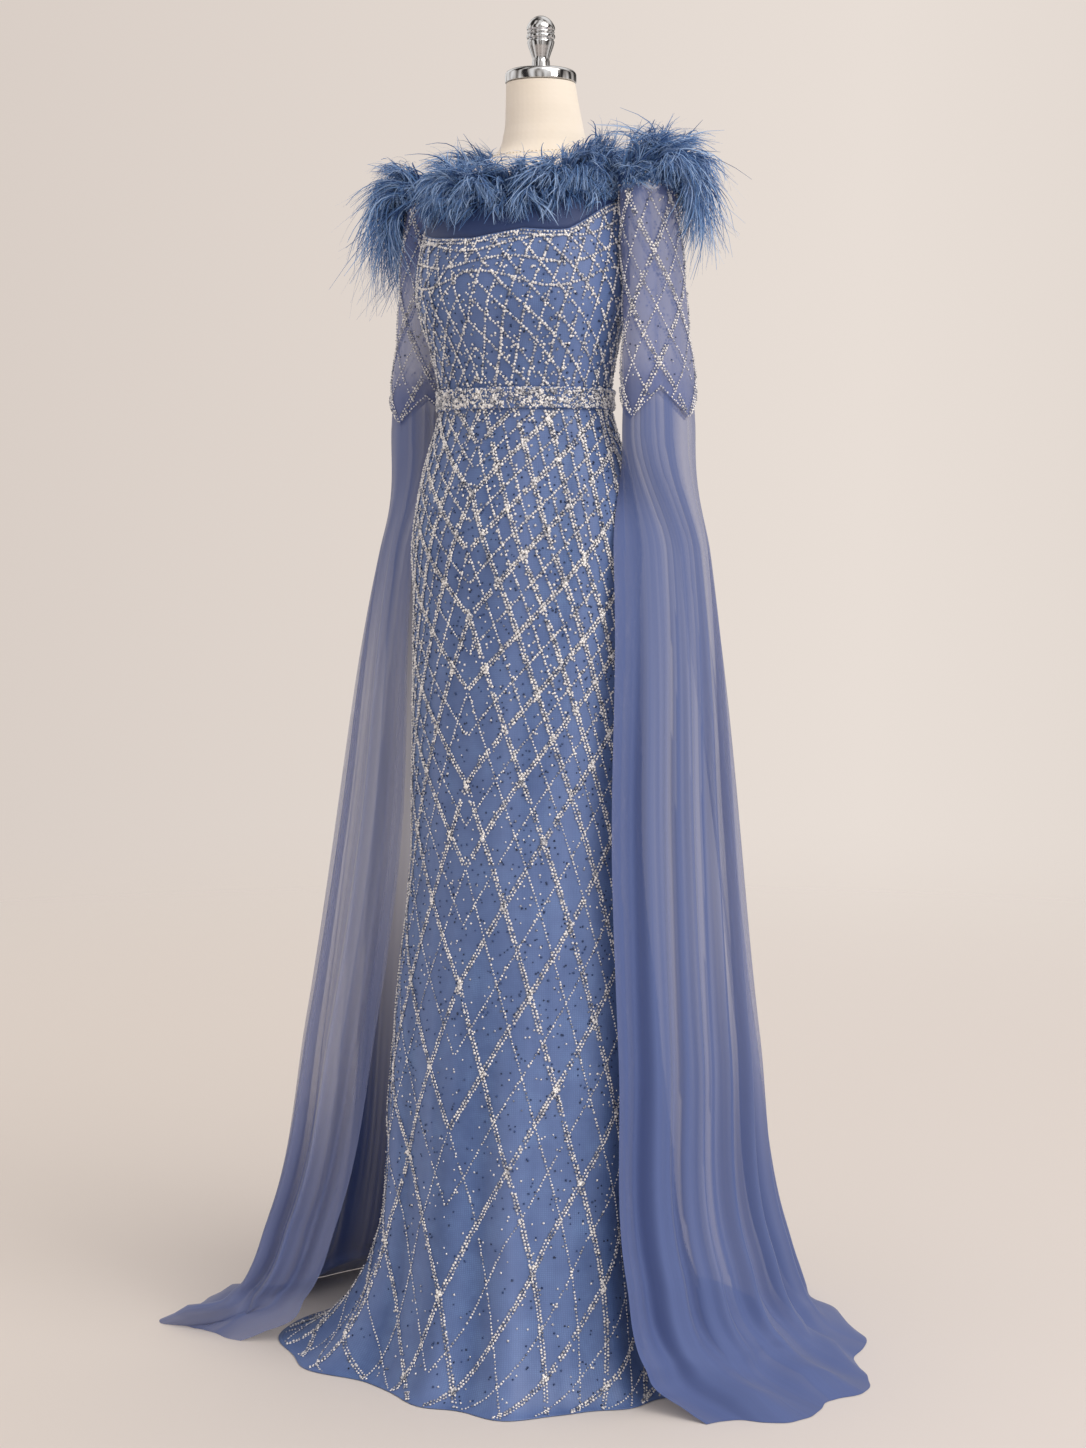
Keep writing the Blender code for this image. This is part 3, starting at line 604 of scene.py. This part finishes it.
# The beads of the lattice and the loose ones grow a little over the hips, by the last size given.
for name, rows, size, more, look, seed in (
        ("skirt_lattice_heavy", heavy, 0.0042, 0.0006, silver, 6),
        ("skirt_lattice_fine", light, 0.0035, 0.0009, silver, 7),
        ("skirt_knots", knots, 0.0056, 0.0, silver, 10),
        ("skirt_scattered_beads", dots[:1500], 0.0034, 0.0009, silver, 8),
        ("skirt_scattered_crystals", dots[1500:], 0.0030, 0.0, navy, 9)):
    size = size + more * ramp(rows[:, 1], 0.70, 1.05)
    for part, way in (("front", 1), ("back", -1)):        # the backs carry the same lattice, mirrored
        beads(f"{name}_{part}", on_skirt, rows[:, 0] * way, rows[:, 1], size, look, seed)

# Belt. A stiffened band 28 mm high over the waist seam, closed all over with crystals of mixed size.
BELT_HEIGHT = 0.028
BELT_THICK = 0.0030


def belt_form(theta, share, lift=0.0):
    """A band over the waist seam: rings of the form, moved out past the gown, with rounded edges."""
    z = WAIST_Z + (share - 0.5) * BELT_HEIGHT
    return body_ring(theta, z, EASE + CLOTH + 3 * SEAM + lift)


theta, share = np.meshgrid(np.linspace(0, tau, 181), np.linspace(1, 0, 9))
band = cloth("belt_band", belt_form(theta, share, BELT_THICK / 2), satin, "belt_crystal", "belt",
             thick=0.0022)


def on_belt(theta, share):
    """The belt's outer face."""
    return belt_form(theta, share, BELT_THICK / 2 + 0.0011)


chance = np.random.default_rng(23)
many = 3500
a, b = chance.uniform(0, tau, many), chance.uniform(0.03, 0.97, many)
size = chance.choice([0.0026, 0.0032, 0.0040, 0.0055], many, p=[0.3, 0.35, 0.25, 0.1])
beads("belt_crystals", on_belt, a, b, size, silver, 12, step_b=0.02)

# Sleeves. Sheer tulle tubes over the arm's line, beaded in larger diamonds, with a hem cut to four
# long points. They hang from the armhole and stand open top and bottom.
SLEEVE = [                # height, centre out from the middle, half width, half depth, centre set back
    (1.240, 0.1920, 0.0450, 0.0620, 0.033), (1.300, 0.1910, 0.0420, 0.0600, 0.033),
    (1.360, 0.1880, 0.0370, 0.0560, 0.033), (1.430, 0.1853, 0.0350, 0.0520, 0.032),
    (1.500, 0.1803, 0.0345, 0.0480, 0.030), (1.580, 0.1740, 0.0290, 0.0430, 0.030),
]
SLEEVE_TOP = 1.560
SLEEVE_HEM = 1.290
SLEEVE_POINT = 0.038
SLEEVE_POINTS = 4


def sleeve_ring(side, phi, z, ease):
    """Ellipse round a sleeve at height z. The angle runs from the outermost point towards the front."""
    centre = smooth(SLEEVE, 1, z)
    half = smooth(SLEEVE, 2, z) + ease
    depth = smooth(SLEEVE, 3, z) + ease
    back = smooth(SLEEVE, 4, z)
    return np.stack([side * (centre + half * np.cos(phi)), back - depth * np.sin(phi), z + 0 * phi], axis=-1)


def sleeve_low(phi):
    """Height of the pointed hem at an angle: a triangle wave round the sleeve."""
    point = np.abs(((phi / tau * SLEEVE_POINTS + 0.5) % 1.0) * 2 - 1)
    return SLEEVE_HEM - SLEEVE_POINT * (1 - point)


# Soft tulle: a sheer nylon net, too fine to show its holes from where the photograph stands. One layer
# lets the light through; where gathers lie over each other they add up to a deeper blue, with a thin
# dark line where a fold turns. How much a place covers is kept with the sheet as "cover".
def sheer(name, shallow, deep):
    """Tulle that covers as its sheet says, shallow in colour where it is thin and deep where it gathers."""
    made, tree, shader = new_finish(name, Roughness=0.66, Sheen_Weight=0.20, Sheen_Roughness=0.4,
                                    Specular_IOR_Level=0.2)
    cover = node(tree, "Attribute", {"attribute_name": "cover"}).outputs["Fac"]
    spread = node(tree, "TexCoord").outputs["UV"]
    run = noise(tree, stretched(tree, spread, 160.0, 1.2, 1.0), 1.0)
    fine = remap(tree, run, (0.3, 0.7), (0.96, 1.03))
    alpha = node(tree, "Math", {"operation": "MULTIPLY", "use_clamp": True}, {0: cover, 1: fine})
    shade = shades(tree, alpha, (0.35, shallow), (0.95, deep))
    feed(shader, Alpha=alpha, Base_Color=shade)
    relief(shader, (cover, 0.3, 0.010))
    return made


def keep(piece, name, value):
    """Write a number between 0 and 1 for each point of a piece."""
    kept = piece.data.attributes.new(name, "FLOAT", "POINT")
    kept.data.foreach_set("value", np.clip(value, 0, 1).ravel())


def gathers(across, down, folds, seed):
    """Gathers from side to side: cells of uneven width that drift a little on the way down. In each the
    cover falls from 1 at the fold's turn to 0 at the next, by a power, so one side of every fold is crisp."""
    chance = np.random.default_rng(seed)
    ends = np.concatenate([[-0.3], np.cumsum(chance.uniform(0.5, 1.6, folds))])
    ends = -0.15 + 1.3 * (ends - ends[0]) / (ends[-1] - ends[0])
    drift = across + 0.020 * np.sin(2.1 * down + seed) + 0.008 * np.sin(6.0 * down + 4 * across + seed)
    cell = np.clip(np.searchsorted(ends, drift) - 1, 0, folds - 1)
    part = (drift - ends[cell]) / (ends[cell + 1] - ends[cell])
    turned_back = chance.uniform(0, 1, folds)[cell] < 0.4
    part = np.where(turned_back, 1 - part, part)
    return (1 - np.clip(part, 0, 1)) ** 1.6 * chance.uniform(0.6, 1.0, folds)[cell]


sleeve_net = sheer("sheer blue tulle", "7F8DBE", "5A6BA3")
cape_net = sheer("gathered blue tulle", "8A94BD", "56679A")

for word, side in (("left", 1), ("right", -1)):
    phi, share = np.meshgrid(np.linspace(0, tau, 97), np.linspace(1, 0, 34))
    z = sleeve_low(phi) + share * (SLEEVE_TOP - sleeve_low(phi))
    grid = sleeve_ring(side, phi, z, CLOTH / 2)
    piece = cloth(f"sleeve_{word}_tulle", grid, sleeve_net, "sleeve_tulle", f"sleeve_{word}", thick=0,
                  turn=side > 0)
    keep(piece, "cover", 0.54 + 0.22 * gathers(phi / tau, 4 * z, 9, 5))

    def at_height(phi, z):
        """The sleeve's outer face by height."""
        return sleeve_ring(side, phi, z, CLOTH)

    lines, fine = [], []
    z = np.linspace(SLEEVE_TOP - 0.01, SLEEVE_HEM - SLEEVE_POINT, 140)
    for k in range(8):
        for way in (-1, 1):
            phi = tau * k / 8 + way * (SLEEVE_HEM - SLEEVE_POINT - z) / 0.036 * (pi / 8)
            there = z > sleeve_low(phi) + 0.003
            double = k % 2 == 0
            rows = spaced(at_height, phi[there], z[there], 0.0044, 2 if double else 1, 0.0036)
            (lines if double else fine).append(rows)
    phi = np.linspace(0, tau, 600)
    hem_row = spaced(at_height, phi, sleeve_low(phi) + 0.0015, 0.0042)
    arm_row = spaced(at_height, phi[:300] - 0.4, 0 * phi[:300] + SLEEVE_TOP - 0.004, 0.0044)
    chance = np.random.default_rng(31)
    dots = np.stack([chance.uniform(0, tau, 260), chance.uniform(1.30, 1.55, 260)], axis=-1)
    for name, rows, size, look, seed in (
            ("lattice", np.concatenate(lines), 0.0040, silver, 13),
            ("fine_lattice", np.concatenate(fine + [hem_row, arm_row]), 0.0034, silver, 14),
            ("beads", dots[:160], 0.0030, silver, 15), ("crystals", dots[160:], 0.0032, navy, 16)):
        beads(f"sleeve_{word}_{name}", at_height, rows[:, 0], rows[:, 1], size, look, seed, outward=-side)

# Cape panels. One floor-length sheet of sheer tulle each side, joined inside the sleeve above its hem
# and falling in soft folds that open over the floor into a train.
SLEEVE_FOLD_START = 1.235
CAPE_FOLDS = 7
CAPE_LEFT = [             # height, then x and y of the front edge, outermost part and back edge
    (1.300, 0.156, -0.010, 0.230, 0.036, 0.156, 0.070), (1.150, 0.160, -0.028, 0.238, 0.060, 0.158, 0.110),
    (1.000, 0.171, -0.042, 0.244, 0.080, 0.164, 0.140), (0.700, 0.176, -0.060, 0.257, 0.090, 0.178, 0.190),
    (0.430, 0.195, -0.076, 0.270, 0.100, 0.190, 0.235), (0.160, 0.218, -0.095, 0.293, 0.110, 0.205, 0.300),
    (0.060, 0.250, -0.098, 0.330, 0.130, 0.195, 0.370), (0.014, 0.295, -0.094, 0.380, 0.150, 0.175, 0.430),
    (0.000, 0.340, -0.090, 0.425, 0.160, 0.150, 0.480),
]
CAPE_RIGHT = [
    (1.300, -0.156, -0.010, -0.230, 0.036, -0.156, 0.070),
    (1.150, -0.162, -0.024, -0.236, 0.014, -0.158, 0.110),
    (1.000, -0.169, -0.034, -0.248, -0.012, -0.164, 0.140),
    (0.700, -0.177, -0.040, -0.277, -0.038, -0.178, 0.200),
    (0.430, -0.205, -0.062, -0.306, -0.058, -0.198, 0.250),
    (0.160, -0.245, -0.100, -0.344, -0.080, -0.230, 0.310),
    (0.060, -0.275, -0.128, -0.385, -0.090, -0.250, 0.360),
    (0.014, -0.310, -0.150, -0.440, -0.090, -0.260, 0.410),
    (0.000, -0.350, -0.170, -0.505, -0.080, -0.270, 0.460),
]


def cape_form(side, sections, across, z):
    """A panel that leaves the sleeve's ring and opens into an arch through three points at each height,
    with waves across it that deepen on the way down."""
    rows = sections[::-1]
    phi = math.radians(150) - across * math.radians(300)
    on_ring = sleeve_ring(side, phi, np.maximum(z, SLEEVE[0][0]), -CLOTH - 4 * SEAM)
    front, outer, back = [np.stack([smooth(rows, c, z), smooth(rows, c + 1, z)], axis=-1) for c in (1, 3, 5)]
    control = 2 * outer - (front + back) / 2
    u = across[..., None]
    arch = (1 - u) ** 2 * front + 2 * u * (1 - u) * control + u**2 * back
    along = unit(2 * (1 - u) * (control - front) + 2 * u * (back - control))
    outward = side * np.stack([along[..., 1], -along[..., 0]], axis=-1)
    size = 0.010 * ramp(-z, -SLEEVE_FOLD_START, -0.700) + 0.005 * ramp(-z, -0.700, -0.200)
    size *= 1 - 0.8 * ramp(-z, -0.100, -0.010)
    wave = np.cos(tau * CAPE_FOLDS * across + 0.6 * np.sin(5 * across))
    uneven = 0.75 + 0.25 * np.sin(9 * across + 1.0 + side)
    small = 0.22 * np.sin(tau * 17 * across + 3.0 * np.sin(4 * across + side))
    small *= ramp(-z, -1.20, -0.90)
    near_floor = ramp(-z, -0.075, -0.004)
    lobe = 0.013 * near_floor * np.cos(tau * 3.5 * across + 1.2 + side)
    arch = arch + outward * (size * (wave * uneven + small) + lobe)[..., None]
    leave = ramp(-z, -SLEEVE_FOLD_START, -SLEEVE_FOLD_START + 0.160)[..., None]
    flat = on_ring[..., :2] * (1 - leave) + arch * leave
    puff = 0.010 * near_floor * (1 - ramp(-z, -0.012, 0.0))
    puff *= 1 + np.cos(tau * 4.5 * across + 2.0 * side)
    return np.concatenate([flat, np.maximum(z + puff, FLOOR_CLEAR)[..., None]], axis=-1)


z_rows = np.concatenate([np.linspace(1.335, 0.16, 90), np.linspace(0.15, 0.0, 30)])
for word, side, sections in (("left", 1, CAPE_LEFT), ("right", -1, CAPE_RIGHT)):
    across, z = np.meshgrid(np.linspace(0, 1, 180), z_rows)
    piece = cloth(f"cape_{word}_tulle", cape_form(side, sections, across, z), cape_net, "sleeve_tulle",
                  f"cape_{word}", thick=0, turn=side < 0)
    # How many layers lie over each other, from the front edge to the back; how many close to the floor,
    # and the height at which they begin to add up.
    if side > 0:
        layers = np.interp(across, [0, 0.03, 0.12, 0.36, 0.41, 0.46, 0.75, 1],
                           [2.0, 2.8, 3.1, 3.0, 2.4, 1.4, 0.9, 0.7])
        close = 4.2 - 1.4 * ramp(across, 0.60, 0.95)
        begins, ends = -0.700 + 0.28 * ramp(across, 0.50, 0.80), -0.020
    else:
        layers = np.interp(across, [0, 0.10, 0.25, 0.42, 0.50, 0.58, 0.70, 0.85, 1],
                           [1.1, 1.5, 1.2, 0.6, 0.45, 0.6, 1.7, 2.4, 2.4])
        close = 1.9 + 3.8 * ramp(across, 0.56, 0.72)
        begins, ends = -0.380 - 0.32 * ramp(across, 0.56, 0.72), -0.100
    layers = layers + np.clip(close - layers, 0, 5) * ramp(-z, begins, ends)
    folds = gathers(across, z, 11, 8 + side) + 0.7 * gathers(across, z, 19, 28 + side)
    if side < 0:
        layers = layers + 0.9 * ramp(z, 0.85, 1.20)
    # The gathered top edge thins out inside the sleeve, where both are sewn to the same seam.
    layers = np.maximum(layers * (0.80 + 0.9 * folds), 0.5) * ramp(-z, -1.335, -1.265)
    keep(piece, "cover", 1 - 0.55 ** layers)

# Feather trim. Ostrich plumes, dyed steel blue, sewn in overlapping tufts on a navy satin tape along the
# neckline and over each shoulder. The tape is drawn as a dark band up to 58 mm high, most of it painted
# shade that stands for the shadow under the plumes. A tuft's strands leave one stitch together, rise and curl
# over.
TRIM_CENTRE = np.array([0.0, 0.030, 0.0])
UP = np.array([0.0, 0.0, 1.0])
NECK_ROWS = [             # lift, strand length, out and up at the root, out and up at the tip, tufts
    (0.030, 0.044, 0.90, 0.15, 0.00, -1.10, 22), (0.044, 0.066, 0.75, 0.60, 0.10, -1.20, 40),
    (0.054, 0.080, 0.50, 0.90, 0.60, -0.95, 56), (0.060, 0.076, 0.15, 1.10, 0.70, -0.10, 60)]
ARM_ROWS = [              # the same at the arm's side, between the neckline and the sleeve
    (0.008, 0.045, 0.30, 0.60, 0.10, -0.20, 12), (0.024, 0.055, 0.40, 0.80, 0.40, -0.50, 14),
    (0.040, 0.070, 0.45, 1.00, 0.50, -0.40, 18), (0.054, 0.085, 0.25, 1.10, 0.60, -0.10, 16)]
FAR_ROWS = [
    (0.000, 0.168, 0.70, -0.30, 0.00, -1.15, 30), (0.006, 0.140, 0.95, 0.25, 0.15, -1.15, 34),
    (0.012, 0.112, 0.95, 0.65, 0.50, -0.85, 36), (0.014, 0.092, 0.50, 1.05, 0.80, -0.25, 34)]
NEAR_ROWS = [
    (0.000, 0.150, 0.70, -0.10, 0.00, -1.15, 14), (0.006, 0.132, 0.95, 0.30, 0.10, -1.20, 20),
    (0.012, 0.114, 0.85, 0.85, 0.45, -0.95, 30), (0.014, 0.094, 0.35, 1.15, 0.75, 0.00, 40)]
RIM_ROWS = [(-0.004, 0.038, 0.55, 0.80, 0.10, -0.80, 34), (0.002, 0.055, 0.30, 1.00, 0.30, -0.20, 44)]

# Ostrich strands: matt with a soft sheen, uneven from the dye, and paler at the tips; darker towards the root
# as painted shade where the strands crowd.
feather, tree, shader = new_finish("dyed ostrich feather", Roughness=0.60, Sheen_Weight=0.35,
                                   Sheen_Roughness=0.4, Sheen_Tint=linear("9DB8E0"), Specular_IOR_Level=0.3)
dye_and_shade = node(tree, "Attribute", {"attribute_name": "dye_and_shade"}).outputs["Fac"]
feed(shader, Base_Color=shades(tree, dye_and_shade, (0.0, "2E497D"), (0.45, "5B83BA"), (1.0, "9DBAE2")))
# The tape's dark navy is partly its own colour and partly painted shade, the shadow under the plumes.
tape_and_shade, tree, shader = new_finish("navy satin tape and painted shade", Base_Color=linear("223869"), Roughness=0.55,
                                Sheen_Weight=0.05)
place = node(tree, "TexCoord").outputs["UV"]
slub = noise(tree, stretched(tree, place, 0.4, 5.0, 1.0), 90.0, 3.0)
relief(shader, (slub, 0.3, 0.0008))


def ribbons(name, line, width, value, *nodes):
    """Strands as flat ribbons from their middle lines, each with its own facing and, at each place, a value
    for its dye and painted shade.
    """
    many, steps = line.shape[:2]
    wide = np.cross(np.gradient(line, axis=1), chance.normal(0, 1, (many, 1, 3)))
    wide /= np.linalg.norm(wide, axis=2, keepdims=True) + 1e-9
    points = np.stack([line - wide * width, line + wide * width], axis=2)
    index = np.arange(many * steps * 2).reshape(many, steps, 2)
    faces = np.stack([index[:, :-1, 0], index[:, :-1, 1], index[:, 1:, 1], index[:, 1:, 0]], axis=-1)
    piece = put(name, points, faces.reshape(-1, 4).tolist(), feather, "trim_feather", *nodes)
    keep(piece, "dye_and_shade", np.repeat(value[:, :, None], 2, axis=2))


def off_form(line):
    """Places that would lie inside the form, moved out along its ellipse to 4 mm above it."""
    z = line[..., 2]
    back = smooth(TORSO, 4, z)
    half = smooth(TORSO, 1, z) + 0.004
    deep = np.where(line[..., 1] < back, smooth(TORSO, 2, z), smooth(TORSO, 3, z)) + 0.004
    inside = np.hypot(line[..., 0] / half, (line[..., 1] - back) / deep)
    push = np.where(inside < 1, 1 / np.maximum(inside, 0.2), 1.0)
    return np.stack([line[..., 0] * push, back + (line[..., 1] - back) * push, z], axis=-1)


def tufts(name, edges, rows, strands, ends, *nodes):
    """Tufts at random places along one edge for each row. A strand starts along the row's first way and
    turns evenly to its last. It leaves its neighbours with the power 1.5 of its length and curls with the
    cube."""
    for_all = []
    for edge, (lift, length, out_0, up_0, out_1, up_1, number), end in zip(edges, rows, ends):
        at = chance.uniform(0, (len(edge) - 1.001) * end, (number, 1, 1))
        low = at.astype(int)[:, 0, 0]
        root = (edge[low] + (edge[low + 1] - edge[low]) * (at[:, 0] - low[:, None]))[:, None, None]
        tangent = unit(edge[low + 1] - edge[low])[:, None, None]
        out = unit((root - TRIM_CENTRE) * [1, 1, 0])
        sway = chance.normal(0, 1, (7, number, 1, 1, 1))
        first = out * (out_0 + 0.10 * sway[0]) + UP * (up_0 + 0.10 * sway[1]) + tangent * 0.28 * sway[2]
        final = out * (out_1 + 0.10 * sway[3]) + UP * (up_1 + 0.10 * sway[4]) + tangent * 0.35 * sway[5]
        own = chance.normal(0, 1, (3, number, strands, 1, 3))
        reach = length * chance.uniform(0.55, 1.0, (number, strands, 1, 1))
        t = np.linspace(0, 1, 8)[None, None, :, None]
        curl = tangent * 0.24 * sway[6] + own[1] * 0.09 - UP * 0.08 - out * 0.10
        way = first * (t - t**2 / 2) + final * t**2 / 2 + own[2] * [0.07, 0.07, 0.04] * t**1.5 + curl * t**3
        line = root + own[0] * 0.0022 + reach * way
        for_all.append(line.reshape(-1, 8, 3))
    line = off_form(np.concatenate(for_all))
    width = chance.choice([0.0005, 0.0009, 0.0015], (len(line), 1, 1), p=[0.25, 0.40, 0.35])
    t = np.linspace(0, 1, 8)
    own_tone = chance.choice([0.12, 0.45, 0.90], (len(line), 1), p=[0.36, 0.36, 0.28])
    # Each strand's dye, paler at the tip and darker towards the root, the root's darkness being painted shade
    # where the strands crowd.
    value = own_tone + chance.normal(0, 0.08, (len(line), 1)) + 0.35 * t - 0.30 * (1 - t) ** 2
    ribbons(name, line, width * (1 - 0.85 * t**1.3)[None, :, None], value, *nodes)


def down(name, start, end, many):
    """Short dark fluff over the tape: strands from the upper part of its band, out and down. Their
    dark tone is the dye's darker end together with painted shade under the plumes.
    """
    theta = np.radians(chance.uniform(start, end, many))
    root = body_ring(theta, neckline(theta) + chance.uniform(0.034, 0.084, many), EASE + CLOTH)[:, None]
    out = unit((root - TRIM_CENTRE) * [1, 1, 0])
    own = chance.normal(0, 1, (2, many, 1, 3))
    t = np.linspace(0, 1, 5)[None, :, None]
    way = (out * 0.6 + own[0] * 0.35) * t + (own[1] * 0.25 - UP * 0.8) * t**2
    line = root + chance.uniform(0.014, 0.028, (many, 1, 1)) * way
    ribbons(name, line, 0.0010 * (1 - 0.7 * t), chance.uniform(0.0, 0.35, (many, 1)) + 0.15 * t[..., 0])


chance = np.random.default_rng(61)
for name, start, end, length in (("trim_front", 197, 343, 0.43), ("trim_back", 29, 151, 0.38)):
    theta = np.radians(np.linspace(start, end, 80))
    edges = [body_ring(theta, neckline(theta) + row[0], EASE + CLOTH) for row in NECK_ROWS]
    tufts(name + "_plumes", edges, NECK_ROWS, 17, (1, 1, 1, 1), name)
    down(name + "_down", start, end, 2600)
    middle = (start + end) / 2
    around = np.radians(np.linspace(middle - 89.6, middle + 89.6, 110))
    around, part = np.meshgrid(around, np.linspace(1, 0, 12))
    # The band reaches 58 mm above the neckline: painted shade under the plumes as much as tape.
    low = (neckline(around) - WAIST_Z) * sag(around) + 0.001
    grid = body_ring(around, neckline(around) + low + part * (0.058 - low), EASE + CLOTH + 0.0004)
    strip = cloth(name + "_tape_and_shade", grid, tape_and_shade, "trim_feather", thick=0.0005)
for word, middle in (("left", 0), ("right", 180)):
    theta = np.radians(np.linspace(middle - 28, middle + 28, 30))
    edges = [body_ring(theta, neckline(theta) + row[0], EASE + CLOTH) for row in ARM_ROWS]
    tufts(f"trim_arm_{word}_plumes", edges, ARM_ROWS, 16, (1, 1, 1, 1))
for word, side, rows, ends in (("left", 1, NEAR_ROWS, (0.44, 0.50, 0.72, 1.0)),
                               ("right", -1, FAR_ROWS, (1, 1, 1, 1))):
    phi = np.radians(np.linspace(-115, 105, 80))
    edges = [sleeve_ring(side, phi, np.full_like(phi, SLEEVE_TOP + row[0]), 0.0) for row in rows]
    tufts(f"trim_{word}_plumes", edges, rows, 18, ends, f"trim_{word}")
    phi = np.radians(np.linspace(-30, 200, 60))
    edges = [sleeve_ring(side, phi, np.full_like(phi, SLEEVE_TOP + row[0]), 0.0) for row in RIM_ROWS]
    tufts(f"trim_rim_{word}_plumes", edges, RIM_ROWS, 15, (1, 1))

# Floor, light and camera. A pale studio floor and room, whose dark flags and bright panels only
# mirrors show, a wide soft light from the front right, and the camera where the photograph was taken.
# Floor and room are painted a little lighter towards the right of the picture: painted light from that side.
# The paper runs out of sight into the room, so far from the gown it fades to the room's own colour.
SIDEWAYS = (0.819, 0.574, 0.0)   # from left to right of the picture
paper, tree, shader = new_finish("matt studio paper", Roughness=0.9, Specular_IOR_Level=0.1)
place = node(tree, "TexCoord").outputs["Object"]
far = node(tree, "VectorMath", {"operation": "LENGTH"}, {0: place})
fade = remap(tree, far.outputs["Value"], (1.0, 6.5), (1.0, 0.0), interpolation_type="SMOOTHERSTEP")
# Painted light: the floor's colour grows a little lighter towards the right of the picture.
across = node(tree, "VectorMath", {"operation": "DOT_PRODUCT", 1: SIDEWAYS}, {0: place})
painted_side_light = remap(tree, across.outputs["Value"], (-0.9, 0.7), (0.0, 1.0))
shade = shades(tree, painted_side_light, (0.0, "DCD8D5"), (1.0, "DFDCDB"))
feed(shader, Base_Color=shade, Alpha=fade)
relief(shader, (noise(tree, place, 260.0), 0.1, 0.0004))
mesh = bpy.data.meshes.new("studio_floor")
mesh.from_pydata([(-14, -14, 0), (14, -14, 0), (14, 14, 0), (-14, 14, 0)], [], [(0, 1, 2, 3)])
mesh.materials.append(paper)
add("studio_floor", mesh)

scene = bpy.context.scene
scene.view_settings.view_transform = "Standard"
room = bpy.data.worlds.new("studio room")
room.use_nodes = True
tree = room.node_tree
way = node(tree, "TexCoord").outputs["Generated"]
flags = noise(tree, stretched(tree, way, 1.0, 1.0, 0.25), 2.2, 1.0)
panels = shades(tree, flags, (0.40, "2E2C2B"), (0.47, "B9B3AD"), (0.60, "FFFDFA"))
# Painted light: the room's colour is darker to the left of the picture and lighter to the right.
across = node(tree, "VectorMath", {"operation": "DOT_PRODUCT", 1: SIDEWAYS}, {0: way})
painted_side_light = remap(tree, across.outputs["Value"], (-0.22, 0.22), (0.0, 1.0))
wall = shades(tree, painted_side_light, (0.0, "D9CEC6"), (0.8, "E8DED6"), (1.0, "E4DAD2"))
seen = node(tree, "Mix", {"data_type": "RGBA"},
            {0: node(tree, "LightPath").outputs["Is Glossy Ray"], 6: wall, 7: panels})
tree.links.new(seen.outputs[2], tree.nodes["Background"].inputs[0])
scene.world = room
YAW = math.radians(35)    # the camera's turn towards the wearer's left
TOWARDS = np.array([math.sin(YAW), -math.cos(YAW), 0.0])
RIGHT = np.array([math.cos(YAW), math.sin(YAW), 0.0])
sun = bpy.data.lights.new("soft_sun", "SUN")
sun.energy, sun.angle, sun.color = 1.15, math.radians(50), linear("FFF8F0")[:3]
add("soft_sun", sun).rotation_euler = (math.radians(48), 0.0, math.radians(75))
panel = bpy.data.lights.new("key_light", "AREA")
panel.size, panel.energy, panel.color = 1.2, 22.0, linear("FFF6EC")[:3]
key = add("key_light", panel)
key.location = TOWARDS * 2.4 + RIGHT * 2.4 + [0, 0, 2.2]
way = np.array([0, 0, 1.0]) - key.location                # it looks at the middle of the gown
key.rotation_euler = (math.acos(-way[2] / np.linalg.norm(way)), 0.0, math.atan2(way[1], way[0]) - pi / 2)
camera = bpy.data.cameras.new("camera")
camera.sensor_width = 36.0
camera.lens = 61.04
camera.shift_y = -0.136
camera.clip_end = 60.0
eye = add("camera", camera)
eye.location = TOWARDS * 3.3 + RIGHT * 0.0242 + [0, 0, 1.11]
eye.rotation_euler = (pi / 2, 0.0, YAW)
scene.camera = eye
